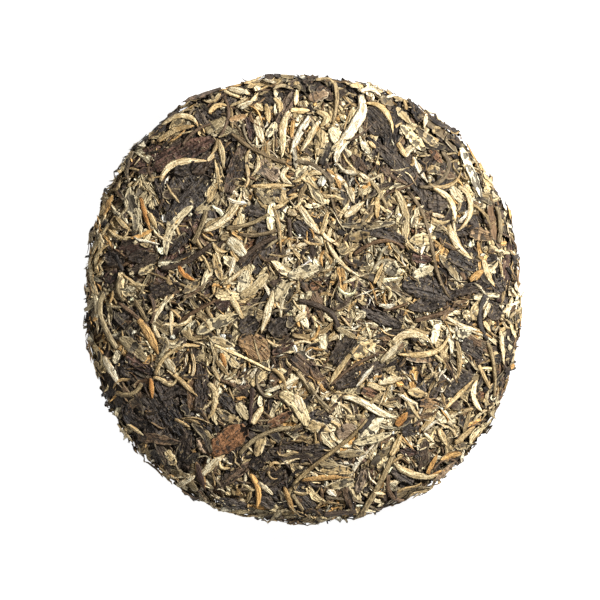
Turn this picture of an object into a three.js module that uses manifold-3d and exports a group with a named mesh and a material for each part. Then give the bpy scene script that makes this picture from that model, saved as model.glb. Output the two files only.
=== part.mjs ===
// White tea cake: a low, round cake of pressed tea with a domed face and a flat underside.
// Whole leaf blades, slender buds and thin stems lie flat in its skin and stand a little proud of it.
// Millimetres, +Z up, origin at the middle of the underside, +Y towards the top of the shown face.

import * as THREE from "three";
import { mergeVertices } from "three/addons/utils/BufferGeometryUtils.js";
import Module from "manifold-3d";

// Driving dimensions of the cake
const MEAN_RADIUS = 100.8;
const HEIGHT = 26;
const WIDEST_HEIGHT = 11; // height of the line where the rim bulges most
const FOOT_RADIUS = 80; // the underside is flat out to here
const BLADE_RELIEF = 1.3; // how far a leaf blade stands proud of the core
const ROUND_RELIEF = 1.9; // the same for the rounder buds and stems

// The outline seen from above: a little taller than wide, and a little square
const TALL_SHARE = 0.012;
const SQUARE_SHARE = 0.009;

// The face is a superellipse: a higher power is a flatter face with a tighter shoulder
const FACE_POWER = 3.6;
const FACE_STEPS = 8;
const RIM_STEPS = 3;
const FOOT_STEPS = 2;
const CORE_SEGMENTS = 40;
const CORE_BUMP = 0.5; // uneven pressing of the core between the leaves

// The pieces that show: length and width as [least, most], bow as the most that a piece turns in radians
const BLADE = { length: [30, 56], width: [9, 17], bow: 0.7 };
const BUD = { length: [17, 28], width: [3.4, 4.8], bow: 1.5 };
const STEM = { length: [30, 54], width: [1.8, 2.4], bow: 1.6 };
const FACE_PIECES = 74;
const RIM_PIECES = 24; // below the widest line, round the bare flat foot
const FLOOR_GAP = 0.3; // the least height of a piece, so that the cake stands on its flat foot alone
const SUNK = 1.6; // how deep a piece's buried side lies in the core
const BLADE_EDGE_SHARE = 0.7; // a blade's edges lie lower than its middle
const BLADE_TIP_SHARE = 0.22; // width left at a blade's torn ends
const BUD_FULLNESS = 0.35; // how much fuller a bud is at its foot than in its middle
const SEED = 20;

const GOLDEN_ANGLE = Math.PI * (3 - Math.sqrt(5));
const WELD_DISTANCE = 1e-4; // vertices closer than this are one
const NEARLY_STRAIGHT = 1e-6; // a smaller bend is left out

// Seeded random numbers

function seededRandom(seed) {
  let state = seed;
  return () => {
    state = (Math.imul(state, 1664525) + 1013904223) >>> 0;
    return state / 2 ** 32;
  };
}

const random = seededRandom(SEED);
const between = ([least, most]) => least + (most - least) * random();
const eitherWay = (most) => most * (2 * random() - 1);

// The cake's form

/** Radius of the outline at an angle, as a share of the mean radius. */
function outline(angle) {
  return 1 - TALL_SHARE * Math.cos(2 * angle) - SQUARE_SHARE * Math.cos(4 * angle);
}

/** Half section of the core, from the middle of the face over the rim to the middle of the underside. */
function meridianPoints() {
  const points = [];
  const coreRadius = MEAN_RADIUS - BLADE_RELIEF;
  const crown = HEIGHT - BLADE_RELIEF - WIDEST_HEIGHT;
  for (let i = 0; i <= FACE_STEPS; i++) {
    const turn = (i / FACE_STEPS) * (Math.PI / 2);
    const radius = coreRadius * Math.sin(turn) ** (2 / FACE_POWER);
    points.push(new THREE.Vector2(radius, WIDEST_HEIGHT + crown * Math.cos(turn)));
  }
  for (let i = 1; i <= RIM_STEPS; i++) {
    const turn = (i / RIM_STEPS) * (Math.PI / 2);
    const radius = FOOT_RADIUS + (coreRadius - FOOT_RADIUS) * Math.cos(turn);
    points.push(new THREE.Vector2(radius, WIDEST_HEIGHT * (1 - Math.sin(turn))));
  }
  for (let i = FOOT_STEPS - 1; i >= 0; i--) {
    points.push(new THREE.Vector2((FOOT_RADIUS * i) / FOOT_STEPS, 0));
  }
  return points;
}

/** A curve along straight stretches, with its length measured from the first point. */
class Meridian {
  constructor(points) {
    this.points = points;
    this.reach = [0];
    for (let i = 1; i < points.length; i++) {
      this.reach.push(this.reach[i - 1] + points[i].distanceTo(points[i - 1]));
    }
    this.length = this.reach.at(-1);
  }

  /** Radius and height at a distance along the curve, with the outward normal there. */
  at(distance) {
    const wanted = THREE.MathUtils.clamp(distance, 0, this.length);
    const i = Math.max(1, this.reach.findIndex((reach) => reach >= wanted));
    const share = (wanted - this.reach[i - 1]) / (this.reach[i] - this.reach[i - 1]);
    const spot = this.points[i - 1].clone().lerp(this.points[i], share);
    const before = this.normalAt(i - 1);
    const normal = before.lerp(this.normalAt(i), share).normalize();
    return { spot, normal };
  }

  normalAt(i) {
    const last = this.points.length - 1;
    if (i === 0) return new THREE.Vector2(0, 1);
    if (i === last || this.points[i].y === 0) return new THREE.Vector2(0, -1);
    const along = this.points[i + 1].clone().sub(this.points[i - 1]);
    return new THREE.Vector2(-along.y, along.x).normalize();
  }
}

const meridian = new Meridian(meridianPoints());
const FACE_REACH = meridian.reach[FACE_STEPS]; // from the middle of the face to the widest line
const BACK_REACH = meridian.length - FACE_REACH;

/** Wraps a point of a flat sheet, laid on the face or the back, over the cake at a height above its core. */
function onSkin(side, flat) {
  const distance = Math.hypot(flat.x, flat.y);
  const { spot, normal } = meridian.at(side === "face" ? distance : meridian.length - distance);
  const angle = Math.atan2(side === "face" ? flat.y : -flat.y, flat.x);
  const radius = (spot.x + flat.z * normal.x) * outline(angle);
  const height = Math.max(FLOOR_GAP, spot.y + flat.z * normal.y);
  return new THREE.Vector3(radius * Math.cos(angle), radius * Math.sin(angle), height);
}

// Helpers on geometry

function reshape(geometry, change) {
  const position = geometry.getAttribute("position");
  const point = new THREE.Vector3();
  for (let i = 0; i < position.count; i++) {
    point.fromBufferAttribute(position, i);
    position.setXYZ(i, ...change(point).toArray());
  }
  return geometry;
}

/** A closed geometry as a solid, with shared vertices merged and collapsed triangles dropped. */
function solidOf(wasm, geometry) {
  const bare = geometry.clone();
  bare.deleteAttribute("normal");
  bare.deleteAttribute("uv");
  const merged = mergeVertices(bare, WELD_DISTANCE);
  const corners = [];
  for (let i = 0; i < merged.index.count; i += 3) {
    const [a, b, c] = [0, 1, 2].map((k) => merged.index.getX(i + k));
    if (a !== b && b !== c && c !== a) corners.push(a, b, c);
  }
  const mesh = new wasm.Mesh({
    numProp: 3,
    vertProperties: new Float32Array(merged.getAttribute("position").array),
    triVerts: new Uint32Array(corners),
  });
  mesh.merge();
  return new wasm.Manifold(mesh);
}

function geometryOf(solid) {
  const mesh = solid.getMesh();
  const geometry = new THREE.BufferGeometry();
  geometry.setAttribute("position", new THREE.BufferAttribute(mesh.vertProperties, 3));
  geometry.setIndex(new THREE.BufferAttribute(mesh.triVerts, 1));
  geometry.computeVertexNormals();
  return geometry;
}

// The core

/** The turned core with an uneven, pressed skin. Its underside stays flat. */
function coreGeometry() {
  const geometry = new THREE.LatheGeometry([...meridian.points].reverse(), CORE_SEGMENTS);
  geometry.rotateX(Math.PI / 2);
  const bumps = new Map();
  return reshape(geometry, (point) => {
    const radius = Math.hypot(point.x, point.y);
    const angle = Math.atan2(point.y, point.x);
    const key = [point.x, point.y, point.z].map((value) => Math.round(value * 100)).join();
    if (!bumps.has(key)) bumps.set(key, eitherWay(CORE_BUMP));
    const bump = point.z > CORE_BUMP ? bumps.get(key) : 0;
    const bulge = outline(angle) * (1 + bump / MEAN_RADIUS);
    return point.set(point.x * bulge, point.y * bulge, point.z + bump * (1 - radius / MEAN_RADIUS));
  });
}

// The pieces that show, each made flat along X with its buried side below z = 0

/** A leaf blade: a thin sheet with torn ends, highest along its midrib. */
function blade(length, width) {
  const sheet = new THREE.BoxGeometry(length, width, 2, 3, 2, 1);
  return reshape(sheet, (point) => {
    const end = Math.abs(point.x) / (length / 2);
    const edge = Math.abs(point.y) / (width / 2);
    point.y *= BLADE_TIP_SHARE + (1 - BLADE_TIP_SHARE) * (1 - end ** 2);
    point.z = point.z > 0 ? BLADE_RELIEF * (1 - (1 - BLADE_EDGE_SHARE) * edge) : -SUNK;
    return point;
  });
}

/** A bud: a slender spindle, fullest nearer its foot. */
function bud(length, width) {
  const spindle = new THREE.SphereGeometry(1, 4, 5);
  spindle.rotateZ(Math.PI / 2);
  return reshape(spindle, (point) => {
    const full = 1 + BUD_FULLNESS * point.x;
    const rise = point.z > 0 ? ROUND_RELIEF : SUNK;
    return point.set((point.x * length) / 2, (point.y * full * width) / 2, point.z * rise);
  });
}

/** A stem: a thin round stalk with cut ends. */
function stem(length, width) {
  const stalk = new THREE.CylinderGeometry(width / 2, width / 2, length, 4, 5);
  stalk.rotateZ(Math.PI / 2);
  return reshape(stalk, (point) => {
    const rise = point.z > 0 ? ROUND_RELIEF : SUNK;
    return point.set(point.x, point.y, (point.z / (width / 2)) * rise);
  });
}

/** Bends a flat piece sideways along an arc that turns by the given angle. */
function bowed(geometry, length, turn) {
  const curve = turn / length;
  return reshape(geometry, (point) => {
    const angle = curve * point.x;
    const straight = Math.abs(curve) < NEARLY_STRAIGHT;
    const middle = straight ? point.x : Math.sin(angle) / curve;
    const aside = straight ? 0 : (1 - Math.cos(angle)) / curve;
    return point.set(middle - point.y * Math.sin(angle), aside + point.y * Math.cos(angle), point.z);
  });
}

/** Turns a flat piece, moves it to its place on the sheet and wraps it over the cake. */
function laid(geometry, side, place, heading) {
  geometry.rotateZ(heading);
  geometry.translate(place.x, place.y, 0);
  return reshape(geometry, (point) => point.copy(onSkin(side, point)));
}

/** Pieces spread evenly over a ring of one side by the golden angle: blades, buds and fewer stems in turn. */
function piecesOn(side, count, inner, outer) {
  const kinds = [
    [blade, BLADE],
    [bud, BUD],
    [blade, BLADE],
    [bud, BUD],
    [stem, STEM],
  ];
  return Array.from({ length: count }, (_, i) => {
    const [make, sizes] = kinds[i % kinds.length];
    const distance = Math.sqrt(THREE.MathUtils.lerp(inner ** 2, outer ** 2, i / count));
    const place = new THREE.Vector2(distance, 0).rotateAround(new THREE.Vector2(), i * GOLDEN_ANGLE);
    const length = between(sizes.length);
    const piece = bowed(make(length, between(sizes.width)), length, eitherWay(sizes.bow));
    return laid(piece, side, place, eitherWay(Math.PI));
  });
}

// The cake

const wasm = await Module();
wasm.setup();

const pieces = [
  ...piecesOn("face", FACE_PIECES, 0, FACE_REACH),
  ...piecesOn("back", RIM_PIECES, FOOT_RADIUS, BACK_REACH),
];
const pressed = pieces.reduce(
  (cake, piece) => cake.add(solidOf(wasm, piece)),
  solidOf(wasm, coreGeometry()),
);

const leafMaterial = new THREE.MeshStandardMaterial({
  color: new THREE.Color().setRGB(0.53, 0.467, 0.372, THREE.SRGBColorSpace),
  roughness: 0.85,
  metalness: 0,
});

const teaCake = new THREE.Mesh(geometryOf(pressed), leafMaterial);
teaCake.name = "tea_cake";

const part = new THREE.Group();
part.add(teaCake);

export default part;
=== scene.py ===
# %% [markdown]
# A white tea cake is a heap of whole dried leaves, downy buds and thin stalks that was steamed and pressed
# into a low round disc. This lesson builds it the way it is made: a core first, whose dark colour is painted
# shade for the deepest gaps, then every leaf, bud and stalk laid down one after another on what already lies
# there, and last the crumbs in the gaps.
# The imported frame comes in first, because it says how large the cake is and where it stands.

# %% The imported frame
import math
from dataclasses import dataclass

import bpy
import numpy as np
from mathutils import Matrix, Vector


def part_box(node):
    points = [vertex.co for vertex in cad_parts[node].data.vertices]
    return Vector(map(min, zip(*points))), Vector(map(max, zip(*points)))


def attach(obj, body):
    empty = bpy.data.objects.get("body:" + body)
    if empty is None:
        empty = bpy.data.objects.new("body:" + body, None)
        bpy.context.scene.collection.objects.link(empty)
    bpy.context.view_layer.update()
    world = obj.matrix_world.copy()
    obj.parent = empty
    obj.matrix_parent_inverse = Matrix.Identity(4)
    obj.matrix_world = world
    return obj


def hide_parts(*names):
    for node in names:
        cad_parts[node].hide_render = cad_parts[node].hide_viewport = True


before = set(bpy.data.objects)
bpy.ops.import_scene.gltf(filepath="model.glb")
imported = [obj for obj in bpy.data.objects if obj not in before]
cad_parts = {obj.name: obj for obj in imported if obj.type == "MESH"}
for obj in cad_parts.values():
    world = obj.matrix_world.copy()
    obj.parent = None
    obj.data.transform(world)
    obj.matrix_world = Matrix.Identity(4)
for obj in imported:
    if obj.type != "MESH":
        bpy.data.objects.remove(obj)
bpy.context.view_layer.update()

MM = 0.001  # the sizes below are in millimetres, and the finished meshes in metres
SEED = 7
rng = np.random.default_rng(SEED)

cake_low, cake_high = (np.array(corner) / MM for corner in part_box("tea_cake"))
CAKE_WIDTH, CAKE_DEPTH, CAKE_HEIGHT = cake_high - cake_low
print(f"the frame's cake is {CAKE_WIDTH:.1f} by {CAKE_DEPTH:.1f} by {CAKE_HEIGHT:.1f} mm")

# %% [markdown]
# The pressed skin is a turned form: a flat dome, a round rim and a flat foot. Everything on the cake lies
# on this skin, so it is worked out once as a curve from the middle of the face to the middle of the foot.

# %% The cake's half section
TALL_SHARE = 0.012  # seen from above the cake is a little taller than wide
SQUARE_SHARE = 0.009  # and a little square
BULGE_SHARE = 0.013  # and it bulges at half past ten
BULGE_ANGLE = math.radians(132)
BULGE_FOCUS = 9.0  # how narrow the bulge is
LOOSE_SCRAPS = 1.4  # how far the scraps at the rim stand off the skin, on average
CROWN_SCRAPS = 0.6  # and how far those on the crown do
SKIN_RADIUS = (CAKE_WIDTH + CAKE_DEPTH) / 4 / (1 - SQUARE_SHARE) - LOOSE_SCRAPS
SKIN_HEIGHT = CAKE_HEIGHT - CROWN_SCRAPS
WIDEST_HEIGHT = 11.0  # height of the line where the rim bulges most
FOOT_RADIUS = 80.0  # the foot is flat out to here
FOOT_LEVEL = 0.7  # the skin at the foot, before the pieces that lie under it
FACE_POWER = 3.6  # a higher power is a flatter face with a tighter shoulder
CURVE_STEPS = 240  # for the face, and again for the rim below it and for the foot


def skin_curve():
    """Radius, height and outward normal of the half section, with the length along it."""
    turn = np.linspace(0, np.pi / 2, CURVE_STEPS)
    face = SKIN_RADIUS * np.sin(turn) ** (2 / FACE_POWER)
    crown = WIDEST_HEIGHT + (SKIN_HEIGHT - WIDEST_HEIGHT) * np.cos(turn)
    rim = FOOT_RADIUS + (SKIN_RADIUS - FOOT_RADIUS) * np.cos(turn)
    below = WIDEST_HEIGHT - (WIDEST_HEIGHT - FOOT_LEVEL) * np.sin(turn)
    foot = np.linspace(FOOT_RADIUS, 0, CURVE_STEPS)
    radius = np.concatenate([face, rim[1:], foot[1:]])
    height = np.concatenate([crown, below[1:], np.full(CURVE_STEPS - 1, FOOT_LEVEL)])
    along = np.concatenate([[0], np.cumsum(np.hypot(np.diff(radius), np.diff(height)))])
    normal = np.stack([-np.gradient(height, along), np.gradient(radius, along)])
    normal /= np.linalg.norm(normal, axis=0)
    return along, radius, height, normal


FACE, BACK = "face", "back"
CURVE, CURVE_RADIUS, CURVE_HEIGHT, CURVE_NORMAL = skin_curve()
FACE_REACH = CURVE[CURVE_STEPS - 1]  # from the middle of the face to the widest line
REACH = {FACE: FACE_REACH, BACK: CURVE[-1] - FACE_REACH}
print(f"the skin runs {REACH[FACE]:.1f} mm to the widest line and {REACH[BACK]:.1f} mm under it")

# %% [markdown]
# A piece is made on a flat sheet and then wrapped over the cake: its distance from the sheet's middle is
# measured along the curve, and its height above the sheet along the curve's normal. One sheet serves the
# face and one the back, so nothing is stretched much at the rim. What stands proud is squeezed, as the
# press did it, and what would go through the floor is flattened against it.

# %% From the sheet to the skin
PRESS_LEVEL = 0.1  # what stands higher than this was flattened by the press
FACE_SOFTNESS = 1.9  # how far it still stands proud
RIM_SOFTNESS = 3.5  # the press leaves the rim looser
RIM_FOCUS = 4  # how closely that keeps to the rim


def outline(angle):
    """Radius of the cake's outline at an angle, as a share of the mean radius."""
    bulge = BULGE_SHARE * np.exp(BULGE_FOCUS * (np.cos(angle - BULGE_ANGLE) - 1))
    return 1 - TALL_SHARE * np.cos(2 * angle) - SQUARE_SHARE * np.cos(4 * angle) + bulge


def pressed(lift, softness):
    """Squeezes what stands proud, and keeps the order of what lies over what."""
    proud = np.maximum(lift - PRESS_LEVEL, 0)
    return np.minimum(lift, PRESS_LEVEL) + softness * (1 - np.exp(-proud / softness))


def on_skin(side, u, v, lift):
    """Points in metres for places on a flat sheet, at a height above the skin."""
    distance = np.hypot(u, v)
    along = distance if side == FACE else CURVE[-1] - distance
    normal_out = np.interp(along, CURVE, CURVE_NORMAL[0])
    normal_up = np.interp(along, CURVE, CURVE_NORMAL[1])
    softness = FACE_SOFTNESS + (RIM_SOFTNESS - FACE_SOFTNESS) * np.abs(normal_out) ** RIM_FOCUS
    lift = pressed(lift, softness)
    angle = np.arctan2(v if side == FACE else -v, u)
    radius = (np.interp(along, CURVE, CURVE_RADIUS) + lift * normal_out) * outline(angle)
    height = np.interp(along, CURVE, CURVE_HEIGHT) + lift * normal_up
    height = np.where(height < FOOT_LEVEL, FOOT_LEVEL * np.exp(height / FOOT_LEVEL - 1), height)
    return np.stack([radius * np.cos(angle), radius * np.sin(angle), height], axis=-1) * MM


# %% [markdown]
# The camera of the picture hangs straight above the cake. Pieces that can be told apart are placed by the
# pixels where they lie, so a pixel has to become a place on the face's sheet. What lies higher is nearer
# to the camera and looks a little larger, and at the rim the heap pushes a piece outwards. Both are taken
# back here.

# %% From the picture to the sheet
PHOTO_SIZE = 600  # pixels
PIXEL = 0.4484  # millimetres at the widest line
CENTRE_PX = (303.5, 299.5)  # the cake's middle
CAMERA_HEIGHT = 1600.0  # millimetres above the floor
NAMED_LIFT = 1.8  # how far above the skin these pieces come to lie at the rim


def from_photo(points):
    """Places on the face's sheet for a few pixels of the picture."""
    shown = (np.array(points, float) - CENTRE_PX) * [PIXEL, -PIXEL]
    angle = np.arctan2(shown[:, 1], shown[:, 0])
    radius = np.hypot(shown[:, 0], shown[:, 1]) / outline(angle)
    height = np.interp(radius, CURVE_RADIUS[:CURVE_STEPS], CURVE_HEIGHT[:CURVE_STEPS])
    radius *= (CAMERA_HEIGHT - height) / (CAMERA_HEIGHT - WIDEST_HEIGHT)
    heap_radius = CURVE_RADIUS + NAMED_LIFT * CURVE_NORMAL[0]
    distance = np.interp(radius, heap_radius[:CURVE_STEPS], CURVE[:CURVE_STEPS])
    return np.stack([distance * np.cos(angle), distance * np.sin(angle)], axis=1)


picture_middle = from_photo([(PHOTO_SIZE / 2, PHOTO_SIZE / 2)])
print("the picture's middle lies at", picture_middle.round(1), "on the sheet")

# %% [markdown]
# A leaf that is laid down drapes over what lies under it. To know that, the script keeps a height map of
# the heap for each side, as fine as half a stalk. It starts as the uneven top of the core, and each piece
# raises it. Near the rim a piece lies on both sheets, so it raises both maps. A second map says where the
# heap is pale: scraps of the same leaf lie together, so pale and dark patches alternate.

# %% The bed that pieces are laid on
CELL = 0.45  # millimetres for one cell of the maps
RIM_OVERLAP = 22.0  # how far each sheet goes on past the widest line
BED_DEPTH = 2.1  # the core's top, below the finished skin
BED_UNEVEN = 0.4  # how far that goes up and down
BED_WAVE = 11.0  # and over what length
PATCH_WAVE = 36.0  # length over which pale and dark alternate
PATCH_STRENGTH = 0.5
RIPPLES = 7  # waves that make a rolling surface
RIPPLE_STRETCH = (0.7, 1.5)  # how their lengths differ


def ripples(u, v, wave):
    """A smooth, random, rolling surface of about unit height."""
    total = np.zeros(np.shape(u))
    turns, phases = rng.random(RIPPLES), rng.random(RIPPLES)
    for turn, phase, stretch in zip(turns, phases, rng.uniform(*RIPPLE_STRETCH, RIPPLES)):
        direction = np.cos(2 * np.pi * turn) * u + np.sin(2 * np.pi * turn) * v
        total = total + np.sin(2 * np.pi * (direction / (wave * stretch) + phase))
    return total / math.sqrt(RIPPLES / 2)


class Bed:
    """Height and paleness of the heap over the skin, on a flat sheet for each side."""

    def __init__(self):
        self.half = {side: REACH[side] + RIM_OVERLAP for side in (FACE, BACK)}
        self.top, self.pale = {}, {}
        for side in (FACE, BACK):
            u, v = self.grid(side)
            self.top[side] = -BED_DEPTH + BED_UNEVEN * ripples(u, v, BED_WAVE)
            self.pale[side] = PATCH_STRENGTH * ripples(u, v, PATCH_WAVE)

    def grid(self, side):
        """Places of all cells of one sheet."""
        ticks = np.arange(-self.half[side], self.half[side], CELL)
        return np.meshgrid(ticks, ticks)

    def cells(self, side, u, v):
        """Rows and columns of the cells at some places."""
        last = len(self.top[side]) - 1
        across = np.clip(((u + self.half[side]) / CELL).astype(int), 0, last)
        down = np.clip(((v + self.half[side]) / CELL).astype(int), 0, last)
        return down, across

    def height(self, side, u, v):
        return self.top[side][self.cells(side, u, v)]

    def raise_to(self, side, u, v, lift):
        """Raises the bed to what was laid on it, near the rim on both sheets."""
        np.maximum.at(self.top[side], self.cells(side, u, v), lift)
        distance = np.hypot(u, v)
        shared = distance > REACH[side] - RIM_OVERLAP
        if shared.any():
            other = BACK if side == FACE else FACE
            turned = (CURVE[-1] - distance[shared]) / distance[shared]
            place = self.cells(other, u[shared] * turned, -v[shared] * turned)
            np.maximum.at(self.top[other], place, lift[shared])


bed = Bed()
print("bed maps:", {side: top.shape for side, top in bed.top.items()})

# %% [markdown]
# On the face the patches follow the picture: round ones, placed where pale scraps crowd or where dark leaves
# lie bare. Each is a pixel and a reach in pixels, and fades out like a bell. The patches of chance stay
# under them, but weaker.

# %% Pale and dark patches of the face
CHANCE_SHARE = 0.5  # what is left of the patches of chance
PALE_STRENGTH = 1.0
DARK_STRENGTH = -0.8
PALE_PATCHES = {
    "under the top": (276, 132, 26), "top right of the middle": (340, 132, 18),
    "top stalks": (318, 122, 16),
    "upper middle": (304, 178, 22), "left of upper middle": (266, 186, 18), "half past one": (420, 132, 14),
    "two o'clock rim": (464, 184, 16), "left flake": (236, 240, 18), "v of buds": (320, 226, 16),
    "upper right": (404, 212, 18), "right of middle": (426, 236, 20), "inner right": (384, 264, 24),
    "middle": (273, 284, 24), "left of middle": (232, 264, 14), "four o'clock": (444, 332, 24),
    "below right": (366, 346, 26), "left leaf": (216, 322, 14), "below left": (224, 362, 18),
    "eight o'clock": (164, 356, 16), "left hook": (180, 382, 16), "lower clump": (298, 404, 20),
    "lower right": (372, 424, 26), "below the dark leaf": (382, 392, 22), "five o'clock": (446, 416, 14),
    "lower edge": (330, 480, 18), "seven o'clock": (214, 462, 16), "nine o'clock": (132, 198, 24),
    "left bud": (174, 240, 12), "right rim": (490, 330, 14), "right rim above": (474, 300, 12),
    "above the middle": (312, 250, 18), "right of the loop": (366, 296, 18),
    "below the loop": (316, 344, 12), "left of the rolled leaf": (366, 178, 24),
    "inner five o'clock": (413, 440, 14), "left rim": (106, 238, 22), "cluster below left": (246, 384, 18),
    "under the dark stalk": (172, 280, 14), "bottom": (220, 496, 18), "broad leaf": (138, 348, 18),
    "right of the dark loop": (352, 314, 18), "below the khaki square": (246, 206, 12),
    "right rim at half past two": (496, 246, 16), "lower rim": (374, 494, 14),
}
DARK_PATCHES = {
    "ten o'clock": (184, 138, 34), "under the hook": (188, 174, 34), "left rim": (128, 264, 22),
    "left of middle": (198, 290, 24), "half past eight": (120, 316, 18),
    "inside the rim at two": (464, 234, 14),
    "lower left": (154, 424, 44), "fish leaf": (196, 394, 18), "lower left inner": (190, 446, 22),
    "loop": (276, 466, 26), "bottom": (312, 502, 14), "square leaf": (246, 432, 20),
    "big leaf": (378, 132, 28), "big leaf tail": (412, 186, 20), "hollow at two": (446, 162, 16),
    "right leaf": (426, 290, 30), "right of the v": (388, 240, 18), "left of the v": (272, 240, 20),
    "ridged leaf": (342, 348, 10), "right below middle": (378, 314, 15), "below middle": (272, 326, 13),
    # the dark patches along the right rim are partly painted shade: they give the pieces on the side that
    # faces the lamp darker colours
    "lower leaf": (348, 380, 12), "rim at three": (510, 286, 22), "rim at five": (412, 480, 12),
    "top rim": (330, 92, 24), "striped leaf": (240, 166, 16), "rim at four": (502, 366, 24),
    "rim at half past four": (476, 440, 20), "under the arc": (426, 368, 16), "rim at two": (486, 236, 22),
    "top rim left": (268, 92, 18), "rim at half past one": (452, 126, 20), "rim at one": (402, 94, 18),
    "rim at eleven": (212, 100, 18),
}


def add_patches(patches, strength):
    """Adds patches to the face's map of paleness."""
    u, v = bed.grid(FACE)
    for px, py, reach in patches.values():
        middle = from_photo([(px, py)])[0]
        far = np.hypot(u - middle[0], v - middle[1]) / (reach * PIXEL)
        bed.pale[FACE] += strength * np.exp(-far**2)


bed.pale[FACE] *= CHANCE_SHARE
add_patches(PALE_PATCHES, PALE_STRENGTH)
add_patches(DARK_PATCHES, DARK_STRENGTH)
print(f"{len(PALE_PATCHES)} pale and {len(DARK_PATCHES)} dark patches")

# %% [markdown]
# Every leaf, bud, stalk and scrap is a ribbon: a line on the sheet with a width that changes along it, a
# few points across, and a thickness. A leaf gets thin edges and folds, a bud or stalk a round section.
# One maker serves them all, so that a kind is only a row of sizes. The corner lists are the same for every
# piece of a kind, so they are worked out once.

# %% Faces of one ribbon


def ribbon_faces(rows, columns, walls):
    """Corner lists of one closed ribbon: its top, its walls if it has them, its underside and two ends."""
    def top(i, j):
        return i * columns + j

    def under(i, edge):
        if walls:
            return rows * columns + 2 * i + edge
        return top(i, (columns - 1) * edge)

    last = columns - 1
    faces = []
    for i in range(rows - 1):
        for j in range(last):
            faces.append((top(i, j), top(i + 1, j), top(i + 1, j + 1), top(i, j + 1)))
        faces.append((under(i + 1, 0), under(i, 0), under(i, 1), under(i + 1, 1)))
        if walls:
            faces.append((top(i, last), top(i + 1, last), under(i + 1, 1), under(i, 1)))
            faces.append((top(i + 1, 0), top(i, 0), under(i, 0), under(i + 1, 0)))
    start = [top(0, j) for j in range(columns)]
    end = [top(rows - 1, j) for j in reversed(range(columns))]
    if walls:
        start += [under(0, 1), under(0, 0)]
        end += [under(rows - 1, 0), under(rows - 1, 1)]
    return faces + [tuple(start), tuple(end)]


# %% [markdown]
# All pieces of one kind become one mesh. The mesh carries three attributes for the finishes: the place
# along and across the piece, its own tint, and how far inside its edge a point lies. Pieces that ended up
# deep under others are left out, because nothing of them shows.

# %% One mesh for each kind
BURIED = 0.35  # millimetres under the finished bed where a point no longer shows
ATTRIBUTES = (
    ("grain", "FLOAT_VECTOR", "vector"),
    ("tint", "FLOAT_COLOR", "color"),
    ("edge", "FLOAT", "value"),
)


def in_scene(name, data):
    """An object in the scene for a mesh, a camera or a lamp."""
    made = bpy.data.objects.new(name, data)
    bpy.context.scene.collection.objects.link(made)
    return made


class Heap:
    """All pieces of one kind, joined in one mesh."""

    def __init__(self, kind):
        self.kind = kind
        self.pieces = []
        self.faces = ribbon_faces(kind.rows, kind.columns, kind.walls)

    def shown(self, piece):
        side, u, v, top = piece["cover"]
        return (bed.height(side, u, v) - top < BURIED).any()

    def joined(self, pieces, name):
        return np.concatenate([piece[name] for piece in pieces]).astype(np.float32).ravel()

    def build(self):
        """The joined mesh as an object, with its attributes."""
        pieces = [piece for piece in self.pieces if self.shown(piece)]
        size = len(pieces[0]["points"])
        corners = np.concatenate([np.array(face) for face in self.faces])
        corners = (corners + size * np.arange(len(pieces))[:, None]).ravel()
        lengths = np.tile([len(face) for face in self.faces], len(pieces))
        mesh = bpy.data.meshes.new(self.kind.name)
        mesh.vertices.add(len(pieces) * size)
        mesh.vertices.foreach_set("co", self.joined(pieces, "points"))
        mesh.loops.add(len(corners))
        mesh.loops.foreach_set("vertex_index", corners)
        mesh.polygons.add(len(lengths))
        mesh.polygons.foreach_set("loop_start", np.cumsum(lengths) - lengths)
        mesh.update(calc_edges=True)
        for name, form, key in ATTRIBUTES:
            attribute = mesh.attributes.new(name, form, "POINT")
            attribute.data.foreach_set(key, self.joined(pieces, name))
        mesh.polygons.foreach_set("use_smooth", np.full(len(lengths), self.kind.smooth))
        triangles = int((lengths - 2).sum())
        print(f"{self.kind.name}: {len(pieces)} of {len(self.pieces)} pieces show, {triangles} triangles")
        return in_scene(self.kind.name, mesh)


# %% [markdown]
# The kinds differ in size, outline, section and colour. Dark leaves are broad and wrinkled, tan and russet
# leaves are the same leaf seen from below or dried redder. Buds are slender spindles, fullest near the foot.
# Stalks are thin and round, with cut ends. Shreds, slivers and flakes are the broken rest that fills the
# spaces between. The colours are a few given ones, and each piece takes one of its kind's palette, which
# runs from dark to pale.

# %% What a kind of piece is


def linear(colour):
    """A colour of 0 to 255 as linear light, by the usual curve of screens, with full opacity."""
    share = np.array(colour) / 255
    light = np.where(share <= 0.04045, share / 12.92, ((share + 0.055) / 1.055) ** 2.4)
    return np.append(light, 1.0)


@dataclass
class Kind:
    """One kind of piece. Sizes are in millimetres, and pairs are the least and the most."""

    name: str
    slot: str
    rows: int  # points along the piece
    columns: int  # points across it
    length: tuple
    width: tuple
    thickness: tuple
    foot_share: tuple  # width left at the first end
    tip_share: tuple  # width left at the other end
    bow: float  # radians that the piece turns over its length, either way
    palette: tuple
    walls: bool = True  # a thin sheet with edges, not a round section
    smooth: bool = True
    taper: tuple = (1.5, 2.6)  # how late it narrows towards its ends
    sway: float = 0.2  # radians that it weaves
    ragged: float = 0.2  # how uneven its edges are
    wrinkle: float = 0.2  # how deep its folds are
    fold: float = 2.2  # distance between folds
    curl: float = 0.0  # how far an edge rises
    spring: float = 0.3  # how far its ends rise
    tilt: float = 0.1  # slope across the piece
    stiff: float = 6.0  # length over which it bridges what is under it
    sink: float = 0.15  # how deep it was pressed into what is under it
    shade: float = 0.16  # how much its tint varies
    seeks_pale: float = 0.0  # how much it keeps to pale patches, or below zero to dark ones


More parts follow.
